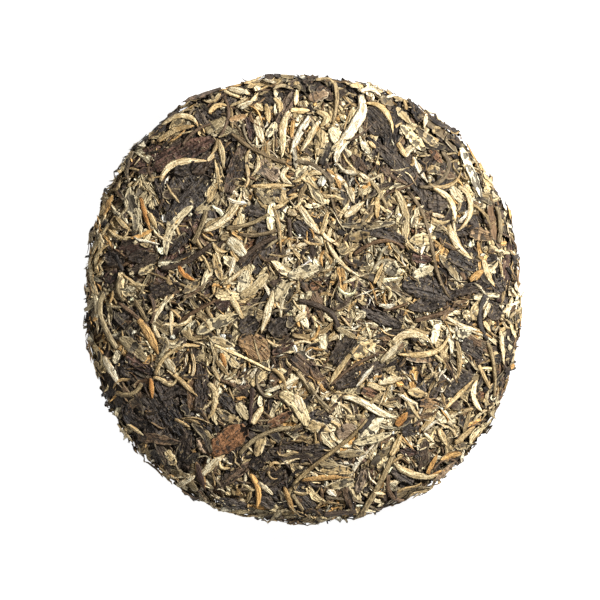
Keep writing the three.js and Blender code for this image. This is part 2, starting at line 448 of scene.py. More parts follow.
# %% The kinds and their colours
BRIGHT_CREAM = (235, 227, 203)
CREAM = (223, 209, 174)
STRAW = (203, 183, 140)
SILVER = (193, 179, 146)
TAN = (167, 147, 109)
BEIGE = (142, 121, 98)
OLIVE = (138, 121, 89)
KHAKI = (112, 97, 73)
AMBER = (196, 156, 98)
ORANGE = (166, 116, 60)
BROWN = (101, 80, 59)
FAWN = (152, 122, 86)
RUSSET = (120, 86, 59)
MAROON = (68, 51, 43)
UMBER = (67, 55, 44)
CHARCOAL = (56, 50, 44)
BLACK_BROWN = (41, 34, 28)
SCRAPS = (
    BLACK_BROWN, BLACK_BROWN, CHARCOAL, CHARCOAL, UMBER, UMBER, BROWN, OLIVE, TAN, TAN,
    SILVER, SILVER, AMBER, STRAW, STRAW, CREAM, CREAM, BRIGHT_CREAM)

DARK_LEAF = Kind(
    "dark_leaves", "dark_leaf", rows=18, columns=10, length=(14, 46), width=(4.5, 11),
    thickness=(0.2, 0.32), foot_share=(0.1, 0.8), tip_share=(0.05, 0.6), bow=0.8, ragged=0.16,
    wrinkle=0.3, fold=2.4, curl=0.7, tilt=0.05, stiff=7.0, seeks_pale=-0.6,
    palette=(BLACK_BROWN, BLACK_BROWN, CHARCOAL, CHARCOAL, UMBER, MAROON))
TAN_LEAF = Kind(
    "tan_leaves", "tan_leaf", rows=14, columns=7, length=(9, 28), width=(2.5, 6.5), thickness=(0.2, 0.3),
    foot_share=(0.05, 0.6), tip_share=(0.05, 0.4), bow=1.0, taper=(1.5, 4.0), curl=0.8, tilt=0.1,
    seeks_pale=0.3, palette=(BROWN, KHAKI, OLIVE, OLIVE, TAN, TAN, SILVER, STRAW))
RUSSET_LEAF = Kind(
    "russet_leaves", "russet_leaf", rows=14, columns=7, length=(9, 28), width=(3.5, 9),
    thickness=(0.2, 0.3), foot_share=(0.2, 0.8), tip_share=(0.05, 0.6), bow=0.6, fold=2.6, curl=0.6,
    tilt=0.07, palette=(MAROON, BROWN, BROWN, RUSSET))
SHRED = Kind(
    "shreds", "tan_leaf", rows=7, columns=4, length=(5, 20), width=(1.4, 4.6), thickness=(0.2, 0.4),
    foot_share=(0.1, 0.9), tip_share=(0.05, 0.6), bow=0.9, smooth=False, taper=(2.0, 6.0), ragged=0.26,
    fold=1.8, curl=0.6, tilt=0.16, stiff=4.0, seeks_pale=0.3, palette=SCRAPS[:-1])
BUD = Kind(
    "buds", "pale_bud", rows=11, columns=6, length=(11, 32), width=(1.5, 3.1), thickness=(0.7, 1.2),
    foot_share=(0.25, 0.75), tip_share=(0.04, 0.25), bow=2.0, walls=False, taper=(1.4, 2.8), sway=0.35,
    ragged=0.14, wrinkle=0.35, tilt=0.12, stiff=7.0, sink=0.35, shade=0.12, seeks_pale=0.5,
    palette=(TAN, STRAW, SILVER, STRAW, CREAM, CREAM, BRIGHT_CREAM))
STEM = Kind(
    "stems", "stem", rows=18, columns=5, length=(18, 50), width=(0.9, 1.9), thickness=(0.9, 1.4),
    foot_share=(0.8, 1.0), tip_share=(0.6, 0.95), bow=1.8, walls=False, sway=0.4, ragged=0.07,
    tilt=0.0, stiff=9.0, sink=0.45, palette=(UMBER, UMBER, BROWN, BROWN, KHAKI, OLIVE, TAN))
SLIVER = Kind(
    "slivers", "pressed_leaf", rows=6, columns=3, length=(4, 15), width=(0.6, 2.0), thickness=(0.5, 1.0),
    foot_share=(0.1, 0.7), tip_share=(0.05, 0.5), bow=1.5, walls=False, smooth=False, taper=(2.0, 6.0),
    sway=0.3, wrinkle=0.3, spring=0.6, tilt=0.2, stiff=5.0, sink=0.2, shade=0.2, seeks_pale=0.5,
    palette=SCRAPS)
FLAKE = Kind(
    "flakes", "pressed_leaf", rows=4, columns=3, length=(1.5, 6), width=(1.1, 3.4), thickness=(0.35, 0.9),
    foot_share=(0.3, 0.9), tip_share=(0.2, 0.9), bow=0.5, walls=False, smooth=False, ragged=0.36,
    wrinkle=0.3, tilt=0.25, stiff=3.0, shade=0.22, seeks_pale=0.4, palette=SCRAPS)
KINDS = (DARK_LEAF, TAN_LEAF, RUSSET_LEAF, SHRED, BUD, STEM, SLIVER, FLAKE)
heaps = {kind.name: Heap(kind) for kind in KINDS}
print(f"{len(KINDS)} kinds of pieces")

# %% [markdown]
# Laying one piece takes four steps. Its outline is drawn on the sheet along its middle line. The heights of
# the bed under it are read and eased, because a leaf bridges small hollows. Its thickness and folds are
# added, and the bed rises by what was laid. The widths, bends and folds are drawn anew for each piece, so
# no two are alike. First come a few helpers: rows of values are eased or resampled by matrices, which are
# kept, because the same ones are needed thousands of times.

# %% Helpers for laying a piece
SMOOTHERS = {}
FILLS = {}
LEAST_EASE = 0.3  # steps, the shortest reach that still eases
PALE_PULL = 0.2  # how far along its palette a pale patch takes a piece
PALETTE_SPREAD = 0.29  # and how far chance does
LAST_SHARE = 0.999  # just short of the palette's end
WARMTH = np.array((0.03, 0.0, -0.05))  # how much a piece is warmer or cooler than its colour
BRIGHTEST = 0.95  # as a share of white
WIDEST_SHARE = 0.45  # how far along a piece it is widest
LEAST_HALF_WIDTH = 0.1  # millimetres


def smoother(count, reach):
    """Matrix that eases a row of values over a number of steps."""
    key = count, round(reach, 1)
    if key not in SMOOTHERS:
        steps = np.arange(count)
        weights = np.exp(-0.5 * ((steps[:, None] - steps) / max(key[1], LEAST_EASE)) ** 2)
        SMOOTHERS[key] = weights / weights.sum(axis=1, keepdims=True)
    return SMOOTHERS[key]


def fill(count, wanted):
    """Matrix that resamples a row of values to a wanted count."""
    if (count, wanted) not in FILLS:
        places = np.linspace(0, count - 1, wanted)
        FILLS[count, wanted] = np.maximum(0, 1 - np.abs(places[:, None] - np.arange(count)))
    return FILLS[count, wanted]


def between(pair):
    """A random value between the two of a pair."""
    return rng.uniform(*pair)


def piece_tint(kind, paleness, colour=None):
    """A colour of the kind's palette, paler in a pale patch, and a little lighter or darker than there."""
    share = np.clip(0.5 + PALE_PULL * paleness + PALETTE_SPREAD * rng.normal(), 0, LAST_SHARE)
    tint = linear(kind.palette[int(share * len(kind.palette))] if colour is None else colour)
    tint[:3] *= np.exp(kind.shade * rng.normal()) * (1 + WARMTH * rng.normal())
    return np.clip(tint, 0, BRIGHTEST)


def half_widths(kind, width):
    """Distance of the two edges from the middle line, for each row."""
    share = np.linspace(0, 1, kind.rows)
    foot, tip = between(kind.foot_share), between(kind.tip_share)
    power = between(kind.taper)
    shape = 1 - (1 - foot) * np.maximum(1 - share / WIDEST_SHARE, 0) ** power
    shape -= (1 - tip) * np.maximum((share - WIDEST_SHARE) / (1 - WIDEST_SHARE), 0) ** power
    tears = 1 + kind.ragged * rng.uniform(-1, 1, (2, kind.rows))
    return np.maximum(width / 2 * shape * tears, LEAST_HALF_WIDTH)


# %% Heights of one piece
ANY_PHASE = (0, 6)  # radians
FOLD_DRIFT = 0.5  # how far folds wander, as a share of the distance between them
DRIFT_LENGTH = 9.0  # millimetres along the leaf for one radian of that
PUCKER_LENGTH = 2.3  # distance between puckers, as a share of that between folds
PUCKER_SLANT = 0.35  # how far puckers run aslant
FOLD_PART = 0.7  # how high folds are, as a share of the wrinkles
PUCKER_PART = 0.5  # and how high puckers are
CURL_RANGE = (-0.3, 1)  # an edge rises more often than it dips
END_FULLNESS = 0.25  # what narrow ends are fuller than their width
CREASE_RANGE = (-1.6, 0.6)  # creases are deeper than ridges are high


def draped(kind, ground, length, width):
    """Heights at which a piece comes to lie on the ground under it."""
    ease = smoother(kind.rows, kind.stiff / (length / kind.rows))
    if kind.walls:
        level = ease @ ground @ smoother(kind.columns, kind.stiff / 2 / (width / kind.columns)).T
        return np.maximum(level, ground - kind.sink)
    crest = ground.max(axis=1)
    return np.maximum(ease @ crest, crest - kind.sink)[:, None] - kind.sink


def sheet_body(kind, place, offset, across, thickness):
    """Thickness of a leaf with its folds, puckers and one raised edge."""
    wave = offset / kind.fold + rng.uniform(0, 1)
    wave = wave + FOLD_DRIFT * np.sin(place / DRIFT_LENGTH + between(ANY_PHASE))
    folds = 2 * np.abs(np.sin(np.pi * wave)) - 1
    pucker = place / (PUCKER_LENGTH * kind.fold) + PUCKER_SLANT * offset + rng.random()
    puckers = np.sin(2 * np.pi * pucker)
    raised = kind.curl * between(CURL_RANGE) * np.clip(across * rng.choice([-1, 1]), 0, 1) ** 3
    return thickness + kind.wrinkle * (FOLD_PART * folds + PUCKER_PART * puckers) + raised


def round_body(kind, edges, across, width, thickness):
    """Thickness of a bud, stalk or scrap, round across and creased along."""
    section = np.sqrt(np.clip(1 - across**2, 0, 1))
    full = np.minimum(1, edges.mean(axis=0) / (width / 2) + END_FULLNESS)[:, None]
    creases = 1 + kind.wrinkle * rng.uniform(*CREASE_RANGE, kind.columns)
    return thickness * section * creases * full


# %% Laying one piece
SPRING_MEAN = 0.6  # how far ends rise on average, as a share of the kind's spring
COVER_DENSITY = 1.4  # points for each cell of the bed under a piece, so that none is left out


def lay(kind, side, path, width, colour=None, lift=0.0):
    """Lays one piece along a path, with its last end lifted or not, and returns the cells it covers."""
    rows, columns = kind.rows, kind.columns
    heading = np.gradient(path, axis=0)
    step = np.linalg.norm(heading, axis=1)
    heading /= step[:, None]
    length = step.sum()
    edges = half_widths(kind, width)
    across = np.linspace(-1, 1, columns)
    reach = np.where(across < 0, edges[0][:, None], edges[1][:, None])
    offset = reach * across
    u = path[:, :1] - heading[:, 1:] * offset
    v = path[:, 1:] + heading[:, :1] * offset

    place = np.cumsum(step)[:, None]
    thickness = between(kind.thickness)
    if kind.walls:
        body = sheet_body(kind, place, offset, across, thickness)
    else:
        body = round_body(kind, edges, across, width, thickness)
    share = np.linspace(-1, 1, rows)[:, None]
    body = body + kind.tilt * rng.normal() * offset
    body = body + kind.spring * rng.exponential(SPRING_MEAN) * np.abs(share) ** 3
    body = body + lift * np.maximum(share, 0) ** 2
    top = draped(kind, bed.height(side, u, v), length, width) + body

    points = on_skin(side, u, v, top).reshape(-1, 3)
    grain = np.stack(np.broadcast_arrays(place, offset, rng.uniform(0, 100)), axis=-1)
    from_ends = np.minimum(place - place[0], length - place)
    edge = np.minimum(reach * (1 - np.abs(across)), from_ends).reshape(-1)
    if kind.walls:
        sides = [0, columns - 1]
        below = on_skin(side, u[:, sides], v[:, sides], top[:, sides] - thickness).reshape(-1, 3)
        points = np.concatenate([points, below])
        grain = np.concatenate([grain.reshape(-1, 3), grain[:, sides].reshape(-1, 3)])
        # the walls count as edge, so the finishes paint them with the line of painted shade
        edge = np.concatenate([edge, np.zeros(2 * rows)])
    middle = bed.cells(side, u[rows // 2, columns // 2], v[rows // 2, columns // 2])
    tint = piece_tint(kind, bed.pale[side][middle], colour)
    heaps[kind.name].pieces.append({
        "points": points, "grain": grain.reshape(-1, 3), "edge": edge,
        "tint": np.broadcast_to(tint, (len(points), 4)), "cover": (side, u, v, top)})

    long_fill = fill(rows, max(rows, int(COVER_DENSITY * length / CELL)))
    wide_fill = fill(columns, max(columns, int(COVER_DENSITY * width / CELL))).T
    covered_u, covered_v, covered_top = ((long_fill @ field @ wide_fill).ravel() for field in (u, v, top))
    bed.raise_to(side, covered_u, covered_v, covered_top)
    return bed.cells(side, covered_u, covered_v)


# %% [markdown]
# Pressed pieces lie every way, but neighbours tend to share a direction, and near the rim they follow it.
# A rolling field of directions does that. Each piece tries a few places and settles in the lowest, as
# loose leaves do when a heap is shaken down, so that the skin ends up even. Scraps also keep to the pale
# patches and dark leaves to the dark ones.

# %% A place for one piece
FIELD_WAVE = 70.0  # millimetres over which directions roll
FIELD_TURN = 1.4  # how far, in radians, each wave of the field turns them
FIELD_SLANT = 0.7  # one wave runs aslant, and this keeps its length
STRAY = 0.75  # how far, in radians, a piece may stray from the field
RIM_SHARE = 0.86  # where the rim begins
RIM_FOLLOWERS = 0.35  # share of the pieces there that follow it
FOLLOWER_STRAY = 0.45  # and how far they stray from it
TRIES = 6  # places that a piece tries
PROBES = 7  # points along it where the bed is read
PEAK_WEIGHT = 0.5  # how much one high point tells against a place
BOW_SPREAD = 0.6  # how much bows differ
BACK_SHARE = 0.7  # pieces on the back for each one on the face
field_phase = rng.uniform(0, 2 * np.pi, 3)


def common_heading(u, v):
    """The direction that pieces near a place share."""
    wave = 2 * np.pi / FIELD_WAVE
    turn = np.sin(wave * u + field_phase[0]) + np.sin(wave * v + field_phase[1])
    return FIELD_TURN * (turn + np.sin(wave * FIELD_SLANT * (u + v) + field_phase[2]))


def settled_place(kind, side, length):
    """The best of a few random places on one side, with a heading."""
    best, least = None, math.inf
    for _ in range(TRIES):
        distance = REACH[side] * math.sqrt(rng.random())
        turn = rng.uniform(0, 2 * np.pi)
        u, v = distance * math.cos(turn), distance * math.sin(turn)
        heading = common_heading(u, v) + rng.normal(0, STRAY)
        if distance > RIM_SHARE * REACH[side] and rng.random() < RIM_FOLLOWERS:
            heading = turn + np.pi / 2 + rng.normal(0, FOLLOWER_STRAY)
        share = np.linspace(-0.5, 0.5, PROBES) * length
        cells = bed.cells(side, u + share * math.cos(heading), v + share * math.sin(heading))
        under = bed.top[side][cells]
        score = under.mean() + PEAK_WEIGHT * under.max() - kind.seeks_pale * bed.pale[side][cells].mean()
        if score < least:
            least, best = score, (u, v, heading)
    return best


def bent_path(kind, u, v, heading, length):
    """A middle line that bows and weaves, centred on a place."""
    share = np.linspace(-0.5, 0.5, kind.rows)
    bow = kind.bow * rng.normal(0, BOW_SPREAD)
    sway = kind.sway * rng.normal()
    angles = heading + bow * share + sway * np.sin(2 * np.pi * share + between(ANY_PHASE))
    path = np.cumsum(np.stack([np.cos(angles), np.sin(angles)], axis=1), axis=0) * length / kind.rows
    return path - path.mean(axis=0) + [u, v]


def strew(kind, face_count, back_share=BACK_SHARE, size=1.0):
    """Lays a number of pieces of one kind on the face, and a share of it on the back."""
    for side, count in ((FACE, face_count), (BACK, int(face_count * back_share))):
        for _ in range(count):
            length = size * between(kind.length)
            place = settled_place(kind, side, length)
            lay(kind, side, bent_path(kind, *place, length), size * between(kind.width))


# %% The heap
ROUNDS = 4
HEAP_ROUND = (
    (DARK_LEAF, 40), (TAN_LEAF, 46), (RUSSET_LEAF, 12), (SHRED, 270),
    (STEM, 24), (FLAKE, 380), (BUD, 60), (SLIVER, 560))
for _ in range(ROUNDS):
    for kind, count in HEAP_ROUND:
        strew(kind, count)
for side, top in bed.top.items():
    print(f"{side}: the bed now lies at {np.percentile(top, [2, 25, 50, 75, 98]).round(2)} mm")

# %% [markdown]
# The press holds the face and the foot but leaves the rim loose, so scraps stick out there and the outline
# is ragged. Most lie more or less along the rim, and one end stands off it.

# %% Loose scraps at the rim
RIM_BAND = 9.0  # millimetres to both sides of the widest line
BROAD_LIFT = 3.1  # how far the ends of broad pieces stand off, on average
SMALL_LIFT = 2.6  # and those of small ones
THIN_LIFT = 0.8  # and those of thin ones
MOST_LIFT = 1.5  # as a share of the average, so that few pieces leave a gap behind them
RIM_STRAY = 0.9  # how far, in radians, broad pieces stray from the rim's direction
THIN_STRAY = 0.4  # and how far thin ones do
RIM_ROUND = (
    (TAN_LEAF, 24, BROAD_LIFT, RIM_STRAY), (SHRED, 170, BROAD_LIFT, RIM_STRAY),
    (BUD, 18, THIN_LIFT, THIN_STRAY), (STEM, 10, THIN_LIFT, THIN_STRAY),
    (FLAKE, 320, SMALL_LIFT, RIM_STRAY), (SLIVER, 240, THIN_LIFT, THIN_STRAY))


def strew_rim(kind, count, lift, stray):
    """Lays pieces along the rim, with their ends standing off."""
    for _ in range(count):
        length = between(kind.length)
        turn = rng.uniform(0, 2 * np.pi)
        distance = FACE_REACH + rng.normal(0, RIM_BAND / 2)
        heading = turn + np.pi / 2 + rng.normal(0, stray)
        path = bent_path(kind, distance * math.cos(turn), distance * math.sin(turn), heading, length)
        lay(kind, FACE, path, between(kind.width), lift=lift * min(rng.exponential(), MOST_LIFT))


for row in RIM_ROUND:
    strew_rim(*row)

# %% [markdown]
# On top lie the pieces that can be told apart in the picture. Each has a name, its width in pixels, its
# colour and the few pixels that its middle line runs through. They are laid like all the others, so they
# drape over the heap, and only their line and width are given. Dark and russet leaves come first, then
# scraps between them, tan leaves, small bits, and at last stalks and buds.

# %% A line through a few pixels
CURVE_ORDER = 3  # of the polynomial, so that a line has few bends
FINE_STEPS = 60  # points by which its length is measured


def smooth_line(points, count):
    """A curve of evenly spaced points through a few given ones."""
    steps = np.linalg.norm(np.diff(points, axis=0), axis=1)
    place = np.concatenate([[0], np.cumsum(steps)]) / steps.sum()
    order = min(len(points) - 1, CURVE_ORDER)
    fine = np.linspace(0, 1, FINE_STEPS)
    curve = np.stack([np.polyval(np.polyfit(place, axis, order), fine) for axis in points.T], axis=1)
    run = np.concatenate([[0], np.cumsum(np.linalg.norm(np.diff(curve, axis=0), axis=1))])
    even = np.linspace(0, run[-1], count)
    return np.stack([np.interp(even, run, axis) for axis in curve.T], axis=1)


def lay_named(kind, marks, bare=0.0):
    """Lays the named pieces of one kind by the picture. Scraps keep off those that lie bare."""
    for width, colour, *pixels in marks.values():
        cells = lay(kind, FACE, smooth_line(from_photo(pixels), kind.rows), width * PIXEL, colour)
        bed.pale[FACE][cells] -= bare
    print(f"{len(marks)} of the {kind.name} are placed by the picture")


# %% Broad leaves placed by the picture
DARK_MARKS = {
    "red-brown leaf at ten": (20, MAROON, (153, 166), (184, 151), (216, 137)),
    "leaf inside the hook": (14, CHARCOAL, (174, 171), (198, 166)),
    "leaf behind the hook": (15, BLACK_BROWN, (192, 173), (212, 153)),
    "leaf under the hook": (17, CHARCOAL, (167, 221), (186, 201), (209, 178)),
    "petal near ten": (14, CHARCOAL, (196, 108), (206, 124)),
    "striped leaf": (13, UMBER, (227, 193), (234, 170), (243, 146)),
    "strip under the top": (12, UMBER, (294, 90), (285, 106), (276, 122)),
    "small leaf left of the stalks": (11, CHARCOAL, (244, 208), (266, 215)),
    "small leaf under it": (9, CHARCOAL, (252, 222), (268, 226)),
    "leaf left of the v": (14, CHARCOAL, (293, 222), (311, 236)),
    "slanting leaf below it": (9, UMBER, (240, 268), (258, 249), (273, 236)),
    "flat leaf at one": (25, CHARCOAL, (366, 109), (377, 121), (389, 136)),
    "rolled leaf below it": (15, CHARCOAL, (368, 136), (382, 149), (400, 166), (419, 185), (427, 208)),
    "strip beside the rolled leaf": (9, UMBER, (381, 168), (408, 184)),
    "oval under the top": (11, CHARCOAL, (262, 95), (274, 103)),
    "strip left of the pointed bud": (7, MAROON, (248, 116), (252, 141)),
    "leaf between the crescents": (19, CHARCOAL, (428, 203), (450, 202)),
    "leaf in the v": (13, BLACK_BROWN, (424, 166), (434, 158)),
    "leaf under the khaki one": (12, CHARCOAL, (362, 229), (384, 233), (407, 242)),
    "rim leaf at half past one": (9, BLACK_BROWN, (412, 103), (420, 122)),
    "rim strip": (6, BLACK_BROWN, (425, 117), (456, 132)),
    "leaf at the top rim": (14, UMBER, (318, 86), (330, 96)),
    "leaf right of the middle": (25, CHARCOAL, (402, 284), (428, 288), (452, 300)),
    "leaf at the right rim": (16, CHARCOAL, (494, 274), (503, 292)),
    "leaf near the right rim": (15, CHARCOAL, (449, 253), (477, 268)),
    "maroon leaf left of it": (10, MAROON, (412, 257), (432, 260)),
    "leaf at three": (15, CHARCOAL, (490, 318), (502, 308)),
    "leaf right below the middle": (14, CHARCOAL, (361, 309), (380, 318), (402, 326)),
    "leaf under the loop": (13, BLACK_BROWN, (262, 488), (284, 470)),
    "leaf above the crescent": (15, CHARCOAL, (408, 308), (446, 302)),
    "striped leaf at four": (15, CHARCOAL, (463, 342), (482, 356)),
    "stripes at five": (14, CHARCOAL, (418, 452), (431, 467)),
    "leaf over the lower rim": (14, CHARCOAL, (392, 470), (415, 481)),
    "red-brown leaf at eight": (13, MAROON, (126, 355), (151, 372)),
    "ridged leaf": (20, CHARCOAL, (334, 364), (345, 349), (356, 332)),
    "leaf with the white stick": (16, CHARCOAL, (335, 387), (360, 375), (386, 362)),
    "square leaf": (14, CHARCOAL, (307, 415), (331, 421)),
    "leaf over the buds at four": (15, CHARCOAL, (445, 396), (472, 374)),
    "leaf at five": (12, CHARCOAL, (402, 432), (420, 428)),
    "maroon leaf at five": (9, MAROON, (400, 451), (418, 454)),
    "leaf left of the middle": (19, CHARCOAL, (240, 331), (257, 320)),
    "leaf right of the cylinder": (20, CHARCOAL, (271, 334), (289, 319)),
    "maroon leaf below": (8, MAROON, (272, 354), (294, 343)),
    "fish-shaped leaf": (15, BLACK_BROWN, (199, 364), (202, 386), (197, 413)),
    "small triangle": (12, CHARCOAL, (221, 395), (236, 413)),
    "slanting leaf at eight": (9, CHARCOAL, (163, 399), (179, 387)),
    "long leaf at eight": (15, BLACK_BROWN, (160, 407), (173, 423), (186, 439)),
    "curled leaf at eight": (13, BLACK_BROWN, (124, 405), (130, 420), (147, 424)),
    "leaf at seven": (14, BLACK_BROWN, (187, 433), (181, 462)),
    "leaf over the russet one": (8, BLACK_BROWN, (210, 443), (247, 423)),
    "long leaf at seven": (10, UMBER, (214, 492), (237, 474), (259, 459)),
    "rim leaf at half past six": (11, CHARCOAL, (218, 500), (246, 507)),
    "second rim leaf": (12, CHARCOAL, (256, 499), (274, 508)),
    "leaf in the loop": (14, BLACK_BROWN, (252, 470), (266, 452)),
    "dark leaf at nine": (15, BLACK_BROWN, (103, 256), (124, 262)),
    "dark leaf right of it": (14, BLACK_BROWN, (128, 258), (152, 254)),
    "dark leaf below it": (15, BLACK_BROWN, (150, 292), (180, 284)),
    "leaf near half past eight": (13, CHARCOAL, (116, 320), (132, 308)),
    "rim strip at ten": (7, UMBER, (155, 118), (181, 106)),
    "rim strip at eleven": (8, UMBER, (184, 104), (221, 88)),
}
RUSSET_MARKS = {
    "triangle below the middle": (24, FAWN, (238, 341), (256, 348), (268, 360)),
    "square at seven": (24, RUSSET, (211, 453), (229, 440), (246, 427)),
    "triangle at two": (8, RUSSET, (431, 148), (443, 163)),
    "star at the right": (14, FAWN, (471, 232), (493, 237)),
    "leaf below the big bud": (9, BROWN, (352, 155), (367, 171)),
    "patch over the crescent": (9, FAWN, (377, 334), (391, 340)),
    "leaf at half past four": (12, FAWN, (420, 403), (443, 405)),
    "leaf below the white stick": (10, RUSSET, (362, 390), (380, 397)),
    "shadowed leaf left": (14, MAROON, (217, 308), (233, 298)),
    "leaf under the clump": (10, RUSSET, (268, 426), (293, 412)),
    "rolled leaf at the bottom": (9, BEIGE, (357, 495), (367, 465)),
    "rim leaf at the bottom": (10, BROWN, (344, 486), (355, 513)),
    "leaf at eight": (10, BROWN, (137, 437), (180, 443)),
    "rim leaf at five": (8, BEIGE, (434, 482), (456, 461)),
    "strip at the middle": (5, RUSSET, (307, 306), (309, 326)),
    "flake right of the middle": (10, RUSSET, (310, 288), (322, 282)),
    "rim piece at ten": (8, MAROON, (137, 172), (155, 168)),
}
TAN_MARKS = {
    "grey-brown square": (18, BEIGE, (256, 162), (279, 179)),
    "khaki square": (15, OLIVE, (258, 187), (273, 203)),
    "pale leaf at nine": (14, CREAM, (131, 187), (129, 199), (135, 215), (133, 231)),
    "long pale leaf": (9, SILVER, (166, 256), (169, 232), (180, 216), (193, 206)),
    "spear under the top left": (8, TAN, (215, 158), (220, 178), (222, 197)),
    "wing at eleven": (12, TAN, (205, 131), (215, 124), (228, 117)),
    "second wing": (7, FAWN, (229, 120), (246, 115)),
    "leaf left of the pale post": (8, CREAM, (267, 137), (276, 122)),
    "leaf at the top": (12, BEIGE, (308, 98), (329, 92)),
    "leaf left of the big bud": (13, CREAM, (331, 127), (344, 147)),
    "leaf between crescents and rim": (10, SILVER, (451, 186), (463, 202)),
    "leaf right of the middle": (15, SILVER, (384, 262), (400, 275)),
    "leaf over the dark one at three": (10, SILVER, (413, 276), (434, 267)),
    "speckled leaf": (14, STRAW, (352, 356), (364, 349), (377, 341)),
    "lens left of the middle": (8, TAN, (211, 338), (232, 346)),
    "curled leaf at seven": (10, BEIGE, (198, 438), (206, 454)),
    "speckled leaf at six": (12, TAN, (320, 468), (354, 472)),
    "pale leaf of the cluster": (9, STRAW, (223, 352), (239, 368)),
    "leaf beside the arc": (8, TAN, (158, 339), (166, 343), (162, 353)),
    "first lens at half past one": (10, STRAW, (401, 124), (425, 150)),
    "second lens": (9, OLIVE, (417, 128), (438, 147)),
    "third lens": (9, TAN, (397, 106), (412, 123)),
    "khaki leaf at one": (10, KHAKI, (381, 96), (394, 104)),
    "leaf in the v": (9, TAN, (427, 171), (440, 168)),
    "flat leaf right of the v": (8, OLIVE, (341, 225), (366, 226), (396, 222)),
    "leaf right of it": (14, STRAW, (409, 241), (436, 238)),
    "leaf over the dark one": (10, OLIVE, (349, 239), (370, 233)),
    "slanting leaf at three": (8, OLIVE, (439, 255), (450, 267), (459, 281)),
    "leaf above the white flake": (8, STRAW, (242, 207), (239, 232)),
    "pale leaf below it": (9, TAN, (215, 253), (217, 266), (222, 281)),
    "pale leaf left": (9, TAN, (183, 293), (200, 280)),
    "pale block": (8, STRAW, (138, 274), (155, 265)),
    "broad leaf at eight": (14, TAN, (119, 337), (131, 346), (145, 361)),
    "whitish leaf": (12, STRAW, (196, 333), (216, 323), (239, 315)),
    "pale leaf in the middle": (14, SILVER, (240, 293), (247, 270)),
    "sheet beside the cylinder": (10, TAN, (240, 297), (255, 287), (268, 274)),
    "sheet right of the cylinder": (13, SILVER, (276, 301), (288, 280)),
    "lens at seven": (9, TAN, (217, 411), (238, 423)),
    "second lens at seven": (10, TAN, (237, 403), (247, 420)),
    "khaki leaf at six": (10, TAN, (256, 457), (264, 434)),
    "broad leaf at six": (13, TAN, (305, 424), (332, 432)),
    "grey leaf right of it": (16, BEIGE, (337, 436), (357, 428)),
    "pale corner": (16, CREAM, (358, 440), (371, 428), (384, 418)),
    "long leaf at five": (9, STRAW, (353, 443), (372, 440), (392, 433)),
    "lens at half past five": (9, OLIVE, (338, 455), (366, 453)),
    "leaf at the bottom": (10, TAN, (318, 461), (338, 466)),
    "khaki leaf at the bottom": (9, STRAW, (331, 488), (354, 480)),
    "curved leaf at five": (8, OLIVE, (371, 468), (381, 456), (394, 446)),
    "leaf under the arc": (8, BEIGE, (405, 358), (434, 360)),
    "leaf at half past four": (9, TAN, (407, 391), (428, 395)),
    "small leaf at seven": (9, TAN, (166, 451), (175, 466)),
    "leaf beside the big bud": (10, STRAW, (355, 106), (347, 136), (331, 150)),
    "leaf under the top": (12, TAN, (321, 129), (319, 156)),
    "pale clump at four": (12, CREAM, (457, 334), (472, 331)),
    "second clump at four": (9, CREAM, (438, 324), (433, 344)),
    "lower clump": (14, STRAW, (279, 394), (298, 406), (307, 427)),
    "middle leaf": (13, SILVER, (288, 276), (320, 267)),
    "long bud leaf at two": (9, BRIGHT_CREAM, (461, 147), (472, 171), (482, 197)),
}
BARE = 2.0  # how strongly scraps keep off dark and tan leaves
LESS_BARE = 1.6  # and off russet ones
SCRAPS_BETWEEN = ((SHRED, 200), (FLAKE, 160), (SLIVER, 160))
BITS_BETWEEN = ((FLAKE, 400), (SLIVER, 300))
BIT_SIZE = 0.5  # as a share of a whole flake or sliver
BIT_BACK_SHARE = 0.5
lay_named(DARK_LEAF, DARK_MARKS, bare=BARE)
lay_named(RUSSET_LEAF, RUSSET_MARKS, bare=LESS_BARE)
for kind, count in SCRAPS_BETWEEN:
    strew(kind, count, back_share=0)
lay_named(TAN_LEAF, TAN_MARKS, bare=BARE)
for kind, count in BITS_BETWEEN:
    strew(kind, count, BIT_BACK_SHARE, BIT_SIZE)

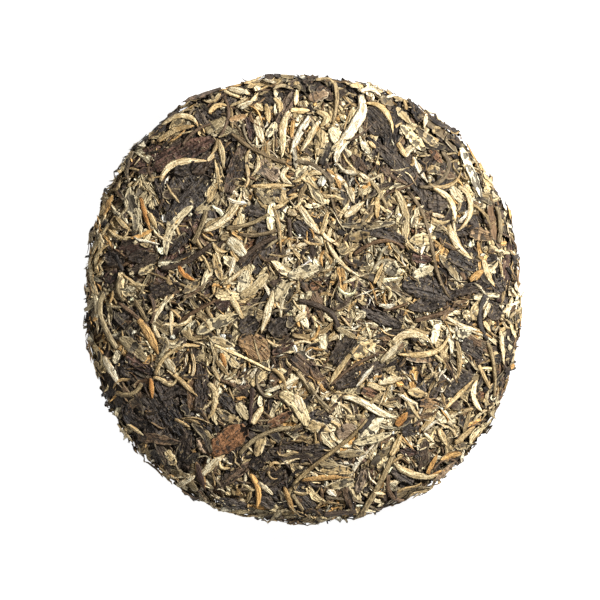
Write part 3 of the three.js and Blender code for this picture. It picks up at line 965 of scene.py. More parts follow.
# %% Stalks placed by the picture
STEM_MARKS = {
    "stalk across the top left": (5, KHAKI, (231, 133), (252, 148), (275, 159), (292, 164)),
    "stalk going up at eleven": (4, BROWN, (219, 136), (225, 126), (228, 112), (223, 95)),
    "thin stalk beside it": (3, KHAKI, (243, 123), (247, 139), (253, 147)),
    "brown stalk right of the v": (5, BROWN, (354, 255), (373, 243), (391, 241), (404, 249)),
    "brown edge of the dark leaf": (4, BROWN, (330, 386), (355, 365), (379, 354)),
    "slanting stalk at half past eight": (5, BROWN, (118, 303), (136, 317), (148, 327)),
    "dark stalk at the white flake": (6, UMBER, (238, 264), (251, 251), (277, 237)),
    "hooked stalk at the top": (5, OLIVE, (315, 80), (331, 80), (337, 98), (332, 124)),
    "stalk right of the top": (5, KHAKI, (295, 162), (313, 165), (325, 174), (331, 183)),
    "arching stalk": (5, OLIVE, (345, 170), (361, 174), (378, 190), (387, 209)),
    "thin stalk": (3, KHAKI, (330, 182), (331, 198), (338, 218)),
    "curved stalk at two": (6, KHAKI, (442, 151), (449, 166), (439, 182), (419, 186)),
    "long stalk at the right": (5, KHAKI, (408, 191), (425, 222), (432, 243), (435, 266), (450, 298)),
    "stalk near the rim at three": (4, OLIVE, (472, 204), (487, 217), (491, 229)),
    "upright rim stalk": (6, OLIVE, (497, 206), (501, 224), (499, 243)),
    "first stalk at the left": (5, OLIVE, (226, 228), (246, 225), (269, 214)),
    "second stalk at the left": (5, KHAKI, (238, 234), (256, 235), (277, 230)),
    "dark stalk at the left": (6, UMBER, (161, 268), (179, 265), (204, 250), (211, 245)),
    "stalk under the hook leaf": (6, OLIVE, (192, 243), (200, 229), (206, 210)),
    "thin stalk at ten": (4, BROWN, (182, 145), (189, 135), (211, 123)),
    "short stalk at nine": (5, BLACK_BROWN, (115, 255), (122, 271)),
    "stalk at half past eight": (6, TAN, (104, 292), (100, 313), (107, 333), (116, 349)),
    "stalk right of it": (5, OLIVE, (134, 300), (147, 322)),
    "bent stalk right of that": (5, BROWN, (149, 294), (154, 308), (150, 324)),
    "brown stalk left of the middle": (5, BROWN, (178, 323), (192, 313), (221, 299)),
    "arc at eight": (5, TAN, (155, 375), (166, 356), (184, 347)),
    "stalk below the middle": (4, STRAW, (213, 345), (240, 356), (271, 371)),
    "midrib of the russet leaf": (3, TAN, (254, 341), (261, 364)),
    "dark loop right of the middle": (6, UMBER, (299, 301), (321, 307), (335, 318), (337, 330)),
    "twig at four": (6, BROWN, (415, 321), (434, 316), (454, 309)),
    "twig left of it": (4, BROWN, (383, 310), (395, 308), (408, 303)),
    "wavy stalk at three": (6, CHARCOAL, (487, 295), (480, 318), (488, 340)),
    "forked stalk at four": (5, OLIVE, (488, 342), (495, 367), (495, 398)),
    "stalk over the leaf at four": (5, TAN, (479, 365), (491, 389)),
    "pair below the middle, first": (5, TAN, (297, 371), (313, 393), (330, 413)),
    "pair below the middle, second": (4, OLIVE, (307, 383), (319, 399), (332, 411)),
    "strip over the grey leaf": (7, CHARCOAL, (359, 432), (374, 415)),
    "long stalk at six": (5, OLIVE, (292, 486), (313, 467), (351, 437), (368, 419)),
    "long stalk at five": (7, OLIVE, (355, 523), (383, 478), (396, 448)),
    "stalk at the bottom right": (5, BROWN, (389, 475), (391, 495), (408, 503)),
    "stalk along the bottom": (6, UMBER, (324, 515), (356, 511)),
    "stalk at six": (5, OLIVE, (292, 495), (303, 512)),
    "flat stalk at six": (6, OLIVE, (239, 455), (259, 437), (291, 428)),
    "stalk bent down": (4, KHAKI, (260, 370), (258, 387), (267, 397), (278, 391)),
    "stalk right of it bent down": (5, OLIVE, (272, 369), (282, 377), (285, 390)),
    "maroon stalk": (5, MAROON, (252, 388), (250, 424)),
    "maroon strip left of the v": (5, BROWN, (289, 219), (290, 237)),
    "stalk at the left rim": (5, OLIVE, (120, 277), (118, 291), (124, 301)),
    "stalk at the lower left rim": (6, OLIVE, (114, 393), (136, 391), (141, 383)),
}
lay_named(STEM, STEM_MARKS)

# %% Buds placed by the picture
BUD_MARKS = {
    "hook at ten": (8, CREAM, (160, 181), (164, 171), (174, 163), (188, 159), (199, 162), (208, 160)),
    "end of the hook": (6, CREAM, (207, 161), (214, 153)),
    "bud above the hook": (5, TAN, (217, 138), (215, 147), (210, 155)),
    "bud right of the hook": (6, STRAW, (218, 139), (222, 155), (223, 169)),
    "white end at eleven": (3, SILVER, (218, 137), (230, 132)),
    "crescent at ten": (7, CREAM, (161, 125), (171, 118), (188, 116), (198, 127)),
    "bud under it": (7, TAN, (157, 141), (172, 131), (194, 125)),
    "rim block at eleven": (9, CREAM, (228, 87), (250, 93)),
    "white stick at eleven": (5, SILVER, (240, 108), (253, 101)),
    "arch at eleven": (6, STRAW, (209, 113), (215, 105), (227, 105)),
    "bud at half past eleven": (7, STRAW, (273, 97), (279, 103), (279, 113)),
    "short bud at half past eleven": (8, STRAW, (255, 103), (263, 110)),
    "amber bud at half past eleven": (6, STRAW, (266, 103), (269, 123)),
    "pointed bud": (9, CREAM, (255, 119), (263, 143)),
    "pale post": (8, CREAM, (291, 110), (283, 125), (283, 143), (281, 159)),
    "amber post": (5, AMBER, (293, 120), (291, 138)),
    "bud beside the beige square": (6, CREAM, (289, 167), (282, 175), (292, 184)),
    "curved strip left of the middle": (5, CREAM, (222, 285), (234, 277), (247, 266)),
    "rim strip at eight": (7, CREAM, (117, 424), (133, 443)),
    "thin strip beside it": (4, STRAW, (126, 424), (143, 436)),
    "bright end of the arc": (4, STRAW, (182, 345), (200, 346)),
    "level strip of the cluster": (4, BRIGHT_CREAM, (229, 381), (242, 383)),
    "lozenge at the right rim": (6, CREAM, (484, 321), (491, 332)),
    "white strip at five": (4, BRIGHT_CREAM, (424, 433), (435, 443)),
    "long white stick": (8, BRIGHT_CREAM, (310, 116), (300, 132), (290, 154)),
    "cross bar": (7, STRAW, (290, 110), (310, 110)),
    "short post": (6, CREAM, (297, 89), (295, 105)),
    "folded leaf tip": (8, STRAW, (316, 111), (327, 117), (320, 126)),
    "second folded tip": (7, CREAM, (318, 121), (310, 136), (300, 152)),
    "twisted bud": (4, SILVER, (250, 149), (246, 160), (248, 174), (243, 190)),
    "bud beside it": (5, SILVER, (257, 154), (258, 166), (250, 177)),
    "level stalk": (6, STRAW, (250, 186), (272, 186), (293, 185)),
    "long curved bud": (8, CREAM, (202, 231), (222, 222), (235, 207), (242, 191)),
    "bud below its foot": (4, TAN, (202, 233), (208, 239), (217, 240)),
    "small crescent": (5, STRAW, (213, 243), (218, 250), (228, 251)),
    "white stick at the left": (6, BRIGHT_CREAM, (234, 257), (229, 277)),
    "wavy white twig": (4, TAN, (272, 206), (278, 222), (280, 242), (281, 253)),
    "left side of the v": (9, CREAM, (299, 205), (309, 221), (322, 236)),
    "right side of the v": (6, STRAW, (321, 235), (328, 211)),
    "bud below the v": (5, SILVER, (327, 241), (333, 253), (341, 263), (361, 277)),
    "big bud at one": (12, BRIGHT_CREAM, (361, 94), (358, 118), (349, 137), (337, 149), (336, 166)),
    "rim crescent at one": (6, BRIGHT_CREAM, (360, 92), (368, 89), (381, 96)),
    "cap of the big leaf": (7, STRAW, (364, 103), (381, 106), (389, 116), (393, 134)),
    "tip on the big leaf": (5, STRAW, (369, 141), (376, 148)),
    "short bud at two": (6, STRAW, (398, 142), (406, 157)),
    "white rim stick": (5, BRIGHT_CREAM, (426, 114), (424, 129)),
    "v-shaped bud": (7, BRIGHT_CREAM, (413, 156), (420, 170), (429, 183)),
    "right side of the v-shaped bud": (5, TAN, (428, 183), (443, 187), (456, 181), (462, 168)),
    "inner crescent": (7, CREAM, (433, 188), (448, 197), (455, 223)),
    "outer crescent": (7, CREAM, (458, 186), (471, 203), (466, 223), (455, 232)),
    "bud below the crescents": (8, CREAM, (449, 224), (455, 242), (473, 259)),
    "small bud between": (5, CREAM, (432, 214), (445, 217)),
    "pale block right of the v": (9, CREAM, (344, 217), (365, 201)),
    "post right of the v": (6, STRAW, (377, 197), (377, 219)),
    "bud on the arch": (5, BRIGHT_CREAM, (359, 173), (371, 181)),
    "short post above the v": (7, CREAM, (349, 187), (354, 204)),
    "pale bundle": (8, STRAW, (395, 189), (406, 218), (405, 244)),
    "bud at half past two": (7, SILVER, (484, 259), (489, 276), (496, 287)),
    "amber bud at three": (9, AMBER, (470, 281), (484, 270)),
    "bud right of the middle": (5, STRAW, (374, 284), (383, 263)),
    "pale cylinder": (9, CREAM, (273, 290), (268, 311), (261, 334)),
    "slanting bud left": (7, STRAW, (225, 287), (234, 303), (244, 321)),
    "amber bud left": (6, ORANGE, (178, 263), (182, 272), (195, 280)),
    "rim arc at nine": (6, STRAW, (98, 276), (95, 259), (109, 244)),
    "amber strip at nine": (6, ORANGE, (140, 197), (150, 231)),
    "bud right of it": (6, STRAW, (149, 213), (157, 229)),
    "curl at nine": (6, STRAW, (115, 216), (122, 224), (131, 231)),
    "rim bud at nine": (6, AMBER, (113, 195), (103, 217)),
    "level bud at nine": (5, STRAW, (127, 284), (148, 286)),
    "amber bud at eight": (9, AMBER, (138, 319), (149, 335), (158, 355)),
    "rim bud at eight": (8, BRIGHT_CREAM, (103, 356), (118, 385)),
    "cream block at eight": (10, CREAM, (165, 359), (175, 373)),
    "straight bud at eight": (6, TAN, (173, 374), (198, 397)),
    "thin arc at eight": (4, CREAM, (191, 352), (193, 373), (185, 386)),
    "low arc at eight": (5, STRAW, (152, 378), (161, 380), (170, 385), (177, 377)),
    "amber cluster": (6, ORANGE, (150, 378), (152, 399)),
    "upright pale strip": (5, CREAM, (171, 311), (171, 336)),
    "bud beside the fish leaf": (7, STRAW, (208, 383), (215, 395), (214, 407), (206, 421)),
    "first strip of the cluster": (6, TAN, (216, 360), (229, 376)),
    "second strip of the cluster": (6, ORANGE, (221, 353), (226, 368)),
    "third strip of the cluster": (5, STRAW, (212, 366), (220, 382)),
    "pointed bud at six": (8, CREAM, (252, 424), (263, 406)),
    "top of the clump": (10, BRIGHT_CREAM, (295, 394), (303, 413)),
    "bud at seven": (9, CREAM, (201, 476), (213, 464), (225, 455)),
    "purple-brown bud": (9, MAROON, (196, 462), (205, 493)),
    "rim bud at seven": (7, CREAM, (177, 486), (195, 476)),
    "small crescent at seven": (4, STRAW, (219, 461), (221, 468), (230, 468)),
    "loop at six": (4, TAN, (280, 465), (270, 466), (269, 476), (278, 479)),
    "amber bud at six": (6, AMBER, (250, 474), (258, 491), (256, 510)),
    "short bud at six": (6, CREAM, (258, 483), (273, 496)),
    "orange bud at the bottom": (6, AMBER, (284, 487), (294, 516)),
    "small loop at the bottom": (4, STRAW, (293, 491), (303, 495), (311, 492)),
    "amber strip at the bottom": (6, AMBER, (301, 481), (326, 478), (352, 478)),
    "crescent at four": (10, CREAM, (393, 344), (404, 335), (416, 334), (431, 343)),
    "arc under it": (7, STRAW, (397, 354), (423, 355), (440, 349), (449, 333)),
    "stick under the crescent": (8, SILVER, (380, 363), (402, 341)),
    "pale specked leaf": (9, CREAM, (342, 397), (360, 401), (377, 411), (398, 417)),
    "long bud beside the ridged leaf": (7, STRAW, (328, 389), (345, 361), (360, 344)),
    "white stick": (6, BRIGHT_CREAM, (356, 387), (374, 365)),
    "cap of the ridged leaf": (7, TAN, (336, 328), (358, 339)),
    "thin white stick": (3, SILVER, (340, 315), (352, 329)),
    "bud over the leaf at four": (5, STRAW, (444, 410), (475, 379)),
    "bud right of the white one": (7, CREAM, (478, 380), (474, 390), (484, 413)),
    "wavy strip at four": (6, TAN, (457, 341), (460, 361), (457, 382)),
    "upright strip at four": (5, BEIGE, (443, 321), (450, 306)),
    "rim strip at four": (6, CREAM, (501, 330), (505, 366)),
    "bent strip at five": (6, STRAW, (404, 392), (410, 405), (421, 420)),
    "amber chunk": (9, ORANGE, (396, 426), (408, 412)),
    "bud at five": (8, STRAW, (394, 463), (416, 476), (439, 474)),
    "bud at half past four": (7, STRAW, (438, 428), (447, 446)),
    "amber strips at five": (6, AMBER, (427, 474), (438, 454)),
    "rim strips at five": (7, TAN, (455, 444), (476, 427)),
    "pale head of the long stalk": (8, STRAW, (391, 456), (402, 434)),
    "small bud at the bottom": (5, CREAM, (373, 493), (386, 495)),
    "white bit at the bottom": (8, BRIGHT_CREAM, (327, 491), (337, 496)),
    "stick at eight": (4, TAN, (174, 419), (190, 428)),
    "pale tip left of the middle": (8, CREAM, (295, 321), (307, 311)),
    "pinkish flake": (9, SILVER, (288, 210), (297, 215)),
    "pale strip at four": (9, CREAM, (378, 383), (403, 378)),
    "straw leaf at four": (7, STRAW, (367, 384), (386, 390)),
    "white flake": (13, CREAM, (228, 239), (247, 257)),
}
LAST_SLIVERS = 120  # a few thin scraps lie on top of all
lay_named(BUD, BUD_MARKS)
strew(SLIVER, LAST_SLIVERS, back_share=0)

# %% [markdown]
# The core is what shows at the bottom of the deepest gaps. Its near-black colour is painted shade for those
# gaps, broken by lighter crumbly grains. It is the turned form a little deeper than where the bed began,
# with a grainy relief, and one closed mesh.

# %% The core
CORE_RINGS = 90
CORE_SEGMENTS = 240
CORE_RELIEF = 0.3  # millimetres
CORE_BELOW = 0.4  # how far it lies under the bed
CORE_DEPTH = BED_DEPTH + CORE_BELOW


def ring_faces(rings, segments):
    """Corner lists of the bands between rings of points."""
    faces = []
    for i in range(rings - 1):
        for j in range(segments):
            after = (j + 1) % segments
            a, b = i * segments, (i + 1) * segments
            faces.append((a + j, b + j, b + after, a + after))
    return faces


def core_mesh():
    """Rings of points from the middle of the face to the middle of the foot, closed at both poles."""
    along = np.linspace(0, 1, CORE_RINGS + 2)[1:-1] * CURVE[-1]
    angle = np.arange(CORE_SEGMENTS) / CORE_SEGMENTS * 2 * np.pi
    distance, turn = np.meshgrid(along, angle, indexing="ij")
    u, v = distance * np.cos(turn), distance * np.sin(turn)
    relief = CORE_RELIEF * rng.uniform(-1, 1, u.shape) - CORE_DEPTH
    rings = on_skin(FACE, u, v, relief).reshape(-1, 3)
    poles = on_skin(FACE, np.array([0, CURVE[-1]]), np.zeros(2), np.full(2, -CORE_DEPTH))
    faces = ring_faces(CORE_RINGS, CORE_SEGMENTS)
    last = (CORE_RINGS - 1) * CORE_SEGMENTS
    face_pole, foot_pole = len(rings), len(rings) + 1
    for j in range(CORE_SEGMENTS):
        after = (j + 1) % CORE_SEGMENTS
        faces.append((face_pole, j, after))
        faces.append((foot_pole, last + after, last + j))
    mesh = bpy.data.meshes.new("core")
    mesh.from_pydata(np.concatenate([rings, poles]).tolist(), [], faces)
    mesh.polygons.foreach_set("use_smooth", np.ones(len(faces), bool))
    return mesh


core = in_scene("core", core_mesh())
print(f"core: {len(core.data.polygons)} faces")

# %% [markdown]
# Finishes and scattered crumbs are node trees. To read them as plain formulas, a small class wraps a
# node's output so that Python's operators add Math nodes, and one method adds any other node. Everything
# that varies is worked out from the attributes that each mesh carries, so the pattern follows each leaf.

# %% A small language for node trees


class Wire:
    """The output of a node, as a value in a formula."""

    def __init__(self, nodes, socket):
        self.nodes, self.socket = nodes, socket

    def math(self, operation, first, second):
        return self.nodes.node("ShaderNodeMath", {"operation": operation}, {0: first, 1: second})

    def __add__(self, other):
        return self.math("ADD", self, other)

    __radd__ = __add__

    def __mul__(self, other):
        return self.math("MULTIPLY", self, other)

    __rmul__ = __mul__

    def __sub__(self, other):
        return self.math("SUBTRACT", self, other)

    def __rsub__(self, other):
        return self.math("SUBTRACT", other, self)


class Nodes:
    """A node tree that grows by one method."""

    def __init__(self, tree):
        self.tree = tree

    def node(self, form, settings=None, sockets=None, out=0):
        made = self.tree.nodes.new(form)
        for setting, value in (settings or {}).items():
            if setting == "stops":
                self.set_stops(made.color_ramp.elements, value)
            else:
                setattr(made, setting, value)
        for socket, value in (sockets or {}).items():
            self.join(value, made.inputs[socket])
        return Wire(self, made.outputs[out])

    def set_stops(self, elements, stops):
        while len(elements) < len(stops):
            elements.new(1.0)
        for element, (place, colour) in zip(elements, stops):
            element.position = place
            element.color = colour

    def join(self, value, socket):
        if isinstance(value, Wire):
            self.tree.links.new(value.socket, socket)
        else:
            socket.default_value = value


# %% [markdown]
# The finest scraps are crumbs, smaller than a grain of rice. They are too many to lay one by one, and they
# only follow the surface, so Geometry Nodes scatter them: the finished bed becomes a thin sheet of faces
# that says how deep each place lies and how pale it is, points are dealt out over it, more in the hollows,
# and each point gets a small stone-shaped crumb with its own size, turn and tone.

# %% The sheet that crumbs lie on
SHEET_STEP = 3  # cells of the bed for one face
CRUMB_SINK = 0.2  # millimetres that crumbs lie in the bed, so that those below stay off the floor
HOLLOW_FROM = 0.4  # millimetres under the skin where hollows begin
HOLLOW_FULL = 1.8  # and where they hold the most crumbs
LEAST_HOLLOW = 0.05  # share of that where there is no hollow


def crumb_sheet(side):
    """The finished bed of one side as a mesh, with the crumbs' density and tone as attributes."""
    u, v = (grid[::SHEET_STEP, ::SHEET_STEP] for grid in bed.grid(side))
    top = bed.top[side][::SHEET_STEP, ::SHEET_STEP]
    points = on_skin(side, u, v, top - CRUMB_SINK).reshape(-1, 3)
    count = len(top)
    number = np.arange(count * count).reshape(count, count)
    inside = np.hypot(u, v)[:-1, :-1] < REACH[side]
    quads = np.stack([number[:-1, :-1], number[:-1, 1:], number[1:, 1:], number[1:, :-1]], axis=-1)[inside]
    mesh = bpy.data.meshes.new("bed of the " + side)
    mesh.from_pydata(points.tolist(), [], quads.tolist())
    hollow = np.clip((-top - HOLLOW_FROM) / (HOLLOW_FULL - HOLLOW_FROM), LEAST_HOLLOW, 1)
    pale = bed.pale[side][::SHEET_STEP, ::SHEET_STEP]
    for name, values in (("hollow", hollow), ("pale", pale)):
        attribute = mesh.attributes.new(name, "FLOAT", "POINT")
        attribute.data.foreach_set("value", values.astype(np.float32).ravel())
    return in_scene(mesh.name, mesh)


# %% Crumbs by Geometry Nodes
CRUMB_INPUTS = {"Density": 110000.0, "Least size": 0.24 * MM, "Most size": 0.66 * MM, "Seed": 5}
CRUMB_LEAST = (0.5, 0.45, 0.35)  # the least stretch along its three axes
CRUMB_MOST = (1.7, 1.0, 0.8)  # and the most
ANY_TURN = (6.3, 6.3, 6.3)  # radians, a whole turn about each axis
PALE_TONE = 0.35  # how much paler crumbs are in a pale patch


def crumb_tree(material):
    """A tree that strews crumbs over a sheet, with the identifiers of its named inputs."""
    tree = bpy.data.node_groups.new("crumbs", "GeometryNodeTree")
    tree.interface.new_socket("Sheet", in_out="INPUT", socket_type="NodeSocketGeometry")
    tree.interface.new_socket("Crumbs", in_out="OUTPUT", socket_type="NodeSocketGeometry")
    names = {}
    for name, value in CRUMB_INPUTS.items():
        form = "NodeSocketInt" if isinstance(value, int) else "NodeSocketFloat"
        names[name] = tree.interface.new_socket(name, in_out="INPUT", socket_type=form).identifier
    nodes = Nodes(tree)
    source = tree.nodes.new("NodeGroupInput")
    given = {socket.name: Wire(nodes, socket) for socket in source.outputs if socket.name}
    number = {"data_type": "FLOAT"}
    hollow = nodes.node("GeometryNodeInputNamedAttribute", number, {"Name": "hollow"})
    pale = nodes.node("GeometryNodeInputNamedAttribute", number, {"Name": "pale"})
    points = nodes.node(
        "GeometryNodeDistributePointsOnFaces", None,
        {"Mesh": given["Sheet"], "Density": given["Density"] * hollow, "Seed": given["Seed"]})
    tone = nodes.node("FunctionNodeRandomValue", number, {2: 0.0, 3: 1.0, "Seed": 1}, out=1)
    points = nodes.node(
        "GeometryNodeStoreNamedAttribute", number,
        {"Geometry": points, "Name": "tone", "Value": tone + PALE_TONE * pale})
    size = nodes.node(
        "FunctionNodeRandomValue", number,
        {2: given["Least size"], 3: given["Most size"], "Seed": 2}, out=1)
    vector = {"data_type": "FLOAT_VECTOR"}
    flat = nodes.node("FunctionNodeRandomValue", vector, {0: CRUMB_LEAST, 1: CRUMB_MOST, "Seed": 3})
    scale = nodes.node("ShaderNodeVectorMath", {"operation": "SCALE"}, {0: flat, "Scale": size})
    turn = nodes.node("FunctionNodeRandomValue", vector, {0: (0, 0, 0), 1: ANY_TURN, "Seed": 4})
    stone = nodes.node("GeometryNodeMeshIcoSphere", None, {"Radius": 1.0, "Subdivisions": 1})
    crumbs = nodes.node(
        "GeometryNodeInstanceOnPoints", None,
        {"Points": points, "Instance": stone, "Rotation": turn, "Scale": scale})
    crumbs = nodes.node("GeometryNodeRealizeInstances", None, {"Geometry": crumbs})
    crumbs = nodes.node("GeometryNodeSetMaterial", None, {"Geometry": crumbs, "Material": material})
    nodes.join(crumbs, tree.nodes.new("NodeGroupOutput").inputs["Crumbs"])
    return tree, names


def strewn_crumbs(side, tree, names):
    """Plain mesh object of the crumbs of one side."""
    sheet = crumb_sheet(side)
    modifier = sheet.modifiers.new("crumbs", "NODES")
    modifier.node_group = tree
    for name, value in CRUMB_INPUTS.items():
        modifier[names[name]] = value
    depsgraph = bpy.context.evaluated_depsgraph_get()
    mesh = bpy.data.meshes.new_from_object(
        sheet.evaluated_get(depsgraph), preserve_all_data_layers=True, depsgraph=depsgraph)
    bpy.data.objects.remove(sheet)
    made = in_scene("crumbs_of_the_" + side, mesh)
    print(f"{made.name}: {len(mesh.polygons)} triangles")
    return made


# %% [markdown]
# Dried leaf is streaked along its length by fine veins, blotched where it dried unevenly and specked with
# dust. The streaks follow the same noise as the bump, so the raised veins are painted lighter and the
# grooves darker: painted highlight and painted shade over the real streaks. Edges take another colour in
# blotches, partly dried colour and partly painted light, pale for lit rims and amber for light through thin
# leaf. A thin line of painted shade runs along every edge and over the walls, where pieces meet and tuck
# under their neighbours. The same formula with other amounts serves every kind: each finish runs from a
# darker to a lighter factor of the piece's own tint. In pale leaf the darker end is amber, painted shade
# warmed by the light that thin leaf lets through.

# %% A finish is a material with a short formula
DULL_GLOSS = 0.3


class Finish(Nodes):
    """One material, built node by node around a Principled shader."""

    def __init__(self, name, roughness):
        self.material = bpy.data.materials.new(name)
        self.material.use_nodes = True
        super().__init__(self.material.node_tree)
        self.shader = next(node for node in self.tree.nodes if node.type == "BSDF_PRINCIPLED")
        self.shader.inputs["Roughness"].default_value = roughness
        self.shader.inputs["Specular IOR Level"].default_value = DULL_GLOSS

    def attribute(self, name, out):
        return self.node("ShaderNodeAttribute", {"attribute_name": name}, out=out)

    def scaled(self, vector, factor):
        return self.node("ShaderNodeVectorMath", {"operation": "MULTIPLY"}, {0: vector, 1: factor})

    def noise(self, vector, detail=2.0):
        return self.node("ShaderNodeTexNoise", None, {"Vector": vector, "Scale": 1.0, "Detail": detail})

    def step(self, value, low, high):
        settings = {"interpolation_type": "SMOOTHSTEP"}
        sockets = {"Value": value, "From Min": low, "From Max": high}
        return self.node("ShaderNodeMapRange", settings, sockets)

    def mix(self, factor, first, second):
        return self.node("ShaderNodeMix", {"data_type": "RGBA"}, {0: factor, 6: first, 7: second}, out=2)

    def bump(self, height, depth):
        sockets = {"Height": height, "Distance": depth * MM, "Strength": 1.0}
        return self.node("ShaderNodeBump", None, sockets)

    def paint(self, **sockets):
        for socket, value in sockets.items():
            self.join(value, self.shader.inputs[socket.replace("_", " ")])
        return self.material


# %% Leaf finishes
EDGE_PAINTED_SHADE = 0.85  # a line of painted shade along every edge and over the walls, where pieces meet and tuck under their neighbours
PAINTED_SHADE_WIDTH = 0.24  # millimetres of that line of painted shade
DRIED_AND_LIT_EDGE_BAND = 0.9  # millimetres over which an edge takes another colour, partly dried colour and partly painted light
DRIED_AND_LIT_EDGE_BLOTCHES = (0.42, 0.6)  # the edge colour comes in these blotches
VEIN_PITCH = (0.14, 1.2, 1.0)  # along the piece, across it, and from piece to piece
FIBRE_PITCH = (0.5, 2.4, 1.3)
BLOTCH_PITCH = (0.25, 0.35, 2.1)
DUST_PITCH = (1.1, 1.5, 3.7)
VEIN_DETAIL = 3.0
DUST_DETAIL = 1.0
VEIN_SHARE = 0.42  # of the streaks
FIBRE_SHARE = 0.33
BLOTCH_SHARE = 0.25
DUST_SPECKS = (0.6, 0.65)  # where dust becomes a speck
FIBRE_HEIGHT = 0.6  # as a share of the veins' height
DUST_HEIGHT = 0.5
GLOSS_SPREAD = 0.25  # how much the roughness varies
NOISE_MIDDLE = 0.5


@dataclass
class Look:
    """The amounts of one leaf finish. The streak shade and streak highlight are factors of the piece's own
    tint: darker and lighter streaks, which also paint shade in the grooves and highlight on the ridges.
    """

    name: str
    roughness: float
    # the darker and lighter streaks, as factors of the tint: real streaks, with painted shade in the grooves
    # and painted highlight on the ridges
    streak_shade: tuple
    bright: tuple
    # the colour of its edge blotches: partly dried colour, partly painted light, pale for lit rims and amber
    # for light through thin leaf
    edge_colour_and_light: tuple
    relief: float  # millimetres
    contrast: float = 0.1  # how softly deep turns into bright
    speck: float = 0.5  # how strongly it is specked
    speck_colour: tuple = UMBER
    edge: float = 0.4  # how much of its edge takes the edge colour, partly dried colour and partly painted light
    # how dark the line of painted shade along its edges is
    line: float = EDGE_PAINTED_SHADE
    size: float = 1.0  # of the pattern


def leaf_finish(look):
    """A streaked leaf, from darker to lighter, with painted shade in its grooves and painted highlight on
    its ridges, with specks, with edges of another colour that are partly painted light, and with a line of
    painted shade along every edge.
    """
    finish = Finish(look.name, look.roughness)
    grain = finish.scaled(finish.attribute("grain", 1), (1 / look.size, 1 / look.size, 1.0))
    tint = finish.attribute("tint", 0)
    veins = finish.noise(finish.scaled(grain, VEIN_PITCH), VEIN_DETAIL)
    fibres = finish.noise(finish.scaled(grain, FIBRE_PITCH))
    blotches = finish.noise(finish.scaled(grain, BLOTCH_PITCH))
    dust = finish.noise(finish.scaled(grain, DUST_PITCH), DUST_DETAIL)
    mixed = VEIN_SHARE * veins + FIBRE_SHARE * fibres + BLOTCH_SHARE * blotches
    # the streaks follow the same noise as the bump, so ridges are painted lighter and grooves darker:
    # painted highlight and painted shade
    streak = finish.step(mixed, NOISE_MIDDLE - look.contrast, NOISE_MIDDLE + look.contrast)
    colour = finish.mix(streak, finish.scaled(tint, look.streak_shade), finish.scaled(tint, look.bright))
    inside = finish.attribute("edge", 2)
    # edges take another colour in blotches: partly dried colour, partly painted light
    dried_and_lit_band = (1 - finish.step(inside, 0.0, DRIED_AND_LIT_EDGE_BAND)) * finish.step(blotches, *DRIED_AND_LIT_EDGE_BLOTCHES) * look.edge
    colour = finish.mix(dried_and_lit_band, colour, linear(look.edge_colour_and_light))
    # a thin line of painted shade along every edge, where pieces meet, and over the walls
    line = (1 - finish.step(inside, 0.0, PAINTED_SHADE_WIDTH)) * look.line
    colour = finish.mix(line, colour, linear(BLACK_BROWN))
    specks = finish.step(dust, *DUST_SPECKS) * look.speck
    colour = finish.mix(specks, colour, linear(look.speck_colour))
    height = veins + FIBRE_HEIGHT * fibres + DUST_HEIGHT * dust
    roughness = look.roughness + GLOSS_SPREAD * (fibres - NOISE_MIDDLE)
    return finish.paint(Base_Color=colour, Normal=finish.bump(height, look.relief), Roughness=roughness)


# factors for darker and lighter streaks: painted shade in the grooves and painted highlight on the ridges;
# in pale leaf the shade is amber, warmed by light through thin leaf
PALE_STREAK_SHADE = (0.52, 0.44, 0.32)
PALE_STREAK_HIGHLIGHT = (1.14, 1.14, 1.14)
DULL_STREAK_SHADE = (0.44, 0.39, 0.32)
DULL_STREAK_HIGHLIGHT = (1.45, 1.45, 1.41)
DARK_STREAK_SHADE = (0.50, 0.47, 0.43)
DARK_STREAK_HIGHLIGHT = (2.3, 2.2, 2.1)
SOFT_STREAK_SHADE = (0.66, 0.61, 0.52)
SOFT_STREAK_HIGHLIGHT = (1.32, 1.32, 1.30)
# edge colours are partly painted light, and the painted shade along the edges is lighter on the scraps
LOOKS = {
    "dark_leaves": Look(
        "dark leaf", 0.6, DARK_STREAK_SHADE, DARK_STREAK_HIGHLIGHT, edge_colour_and_light=BROWN, relief=2.6, speck_colour=KHAKI,
        size=2.0),
    "tan_leaves": Look(
        "tan leaf", 0.72, SOFT_STREAK_SHADE, SOFT_STREAK_HIGHLIGHT, edge_colour_and_light=CREAM, relief=0.9, contrast=0.11,
        speck=0.6, edge=0.6, size=1.4),
    "russet_leaves": Look(
        "russet leaf", 0.65, DARK_STREAK_SHADE, SOFT_STREAK_HIGHLIGHT, edge_colour_and_light=TAN, relief=1.6, speck=0.6,
        speck_colour=MAROON, size=1.5),
    "shreds": Look(
        "shred", 0.72, DULL_STREAK_SHADE, DULL_STREAK_HIGHLIGHT, edge_colour_and_light=STRAW, relief=1.1, edge=0.5, line=0.75),
    "buds": Look(
        "bud", 0.7, PALE_STREAK_SHADE, PALE_STREAK_HIGHLIGHT, edge_colour_and_light=AMBER, relief=0.9, edge=0.85),
    "stems": Look(
        "stem", 0.6, DULL_STREAK_SHADE, DULL_STREAK_HIGHLIGHT, edge_colour_and_light=UMBER, relief=0.8, speck=0.4),
    "slivers": Look(
        "sliver", 0.7, PALE_STREAK_SHADE, PALE_STREAK_HIGHLIGHT, edge_colour_and_light=AMBER, relief=1.0, speck=0.4, line=0.7),
    "flakes": Look(
        "flake", 0.72, DULL_STREAK_SHADE, DULL_STREAK_HIGHLIGHT, edge_colour_and_light=UMBER, relief=1.0, edge=0.3, line=0.7),
}
FINISHES = {name: leaf_finish(look) for name, look in LOOKS.items()}

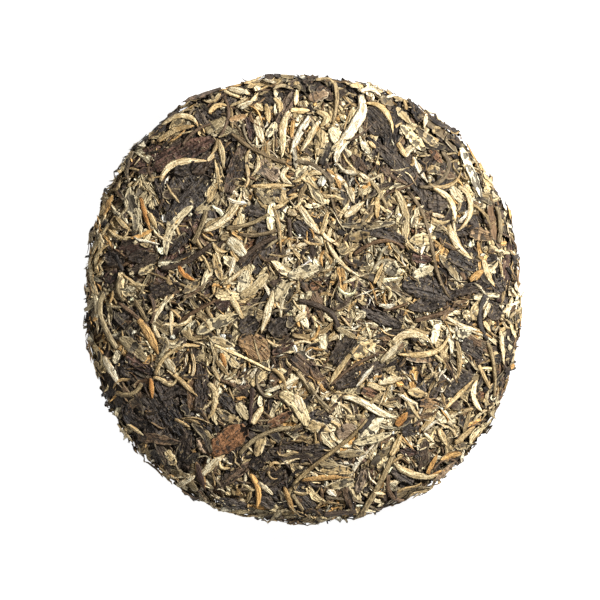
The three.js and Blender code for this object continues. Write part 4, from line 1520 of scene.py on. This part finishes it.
# %% Finishes of the core and the crumbs
# the core's near-black is painted shade for the deepest gaps
CORE_DARK_AND_GAP_SHADE = (18, 13, 10)
CORE_GRAIN = 900.0  # grains for each metre
CORE_GRAIN_STEP = (0.4, 0.8)  # where the dark turns into the lighter grains
CORE_BUMP = 0.5  # millimetres
CORE_ROUGHNESS = 0.85
CRUMB_ROUGHNESS = 0.75
CRUMB_STOPS = (
    (0.0, BLACK_BROWN), (0.35, UMBER), (0.55, KHAKI), (0.72, OLIVE), (0.88, TAN), (1.0, STRAW))


def core_finish():
    """Near black as painted shade for the deepest gaps, with lighter grains, by the object's own
    coordinates.
    """
    finish = Finish("core", CORE_ROUGHNESS)
    place = finish.node("ShaderNodeTexCoord", out="Object")
    grains = finish.noise(finish.scaled(place, (CORE_GRAIN,) * 3))
    colour = finish.mix(finish.step(grains, *CORE_GRAIN_STEP), linear(CORE_DARK_AND_GAP_SHADE), linear(UMBER))
    return finish.paint(Base_Color=colour, Normal=finish.bump(grains, CORE_BUMP))


def crumb_finish():
    """Each crumb in the colour of its own tone."""
    finish = Finish("crumb", CRUMB_ROUGHNESS)
    stops = [(place, linear(colour)) for place, colour in CRUMB_STOPS]
    return finish.paint(
        Base_Color=finish.node("ShaderNodeValToRGB", {"stops": stops}, {0: finish.attribute("tone", 2)}))


core.data.materials.append(core_finish())
pieces = [core]
for kind in KINDS:
    piece = heaps[kind.name].build()
    piece.data.materials.append(FINISHES[kind.name])
    pieces.append(piece)
crumb_nodes = crumb_tree(crumb_finish())
pieces += [strewn_crumbs(side, *crumb_nodes) for side in (FACE, BACK)]

# %% [markdown]
# The cake lies on a white sheet and is seen from straight above. A small lamp at the upper right gives each
# leaf a lit and a shaded side, and a broad weak one and a pale sky fill the rest. The long lens keeps the
# view nearly flat.

# %% Camera
SENSOR = 36.0  # millimetres
FARTHEST = 20.0  # metres that the camera sees
camera_data = bpy.data.cameras.new("camera")
camera_data.sensor_width = SENSOR
camera_data.lens = SENSOR * (CAMERA_HEIGHT - WIDEST_HEIGHT) / (PHOTO_SIZE * PIXEL)
camera_data.clip_end = FARTHEST
camera = in_scene("camera", camera_data)
camera.location = (
    (PHOTO_SIZE / 2 - CENTRE_PX[0]) * PIXEL * MM,
    (CENTRE_PX[1] - PHOTO_SIZE / 2) * PIXEL * MM,
    CAMERA_HEIGHT * MM,
)
bpy.context.scene.camera = camera

# %% Lamps and sky
KEY_PLACE = (0.74, 0.42, 0.69)  # metres
KEY_SIZE = 0.08
KEY_POWER = 29.5  # watts
FILL_PLACE = (-0.7, -0.35, 1.1)
FILL_SIZE = 0.9
FILL_POWER = 2.4
SKY_STRENGTH = 0.05
SKY_COLOUR = (1.0, 0.95, 0.89, 1.0)  # light that comes back from brown leaves is warm


def lamp(name, place, size, power):
    """A square lamp that shines on the cake's middle."""
    data = bpy.data.lights.new(name, "AREA")
    data.energy = power
    data.size = size
    made = in_scene(name, data)
    made.location = place
    made.rotation_euler = (-made.location).to_track_quat("-Z", "Y").to_euler()


lamp("key lamp", KEY_PLACE, KEY_SIZE, KEY_POWER)
lamp("fill lamp", FILL_PLACE, FILL_SIZE, FILL_POWER)

world = bpy.data.worlds.new("studio")
world.use_nodes = True
world.node_tree.nodes["Background"].inputs["Color"].default_value = SKY_COLOUR
world.node_tree.nodes["Background"].inputs["Strength"].default_value = SKY_STRENGTH
bpy.context.scene.world = world
bpy.context.scene.view_settings.view_transform = "Standard"

# %% Floor
FLOOR_RADIUS = 3.2  # metres
FLOOR_FILLET = 0.6
WALL_TOP = 1.0
FLOOR_SEGMENTS = 64
FILLET_STEPS = 10
FLOOR_GREY = (0.35, 0.35, 0.35, 1)
FLOOR_ROUGHNESS = 0.9
FLOOR_GLOW = 0.93  # it shines a little by itself, so that it is white with hardly a shadow
WHITE = (1, 1, 1, 1)


def floor_mesh():
    """A round floor that curves up into a low wall, like the paper behind a studio table."""
    turn = np.linspace(0, np.pi / 2, FILLET_STEPS)
    radius = np.append(FLOOR_RADIUS + FLOOR_FILLET * np.sin(turn), FLOOR_RADIUS + FLOOR_FILLET)
    height = np.append(FLOOR_FILLET * (1 - np.cos(turn)), WALL_TOP)
    angle = np.arange(FLOOR_SEGMENTS) / FLOOR_SEGMENTS * 2 * np.pi
    points = [(r * math.cos(a), r * math.sin(a), z) for r, z in zip(radius, height) for a in angle]
    faces = [tuple(range(FLOOR_SEGMENTS))] + ring_faces(len(radius), FLOOR_SEGMENTS)
    mesh = bpy.data.meshes.new("floor")
    mesh.from_pydata(points, [], faces)
    return mesh


floor = in_scene("floor", floor_mesh())
floor_finish = Finish("white sheet", FLOOR_ROUGHNESS)
floor.data.materials.append(floor_finish.paint(
    Base_Color=FLOOR_GREY, Emission_Color=WHITE, Emission_Strength=FLOOR_GLOW))

# %% [markdown]
# Each piece rides on the cake's one body. All of them together stand for the one solid of the frame.

# %% Into the frame
for piece in pieces:
    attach(piece, "root")
    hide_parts("tea_cake")
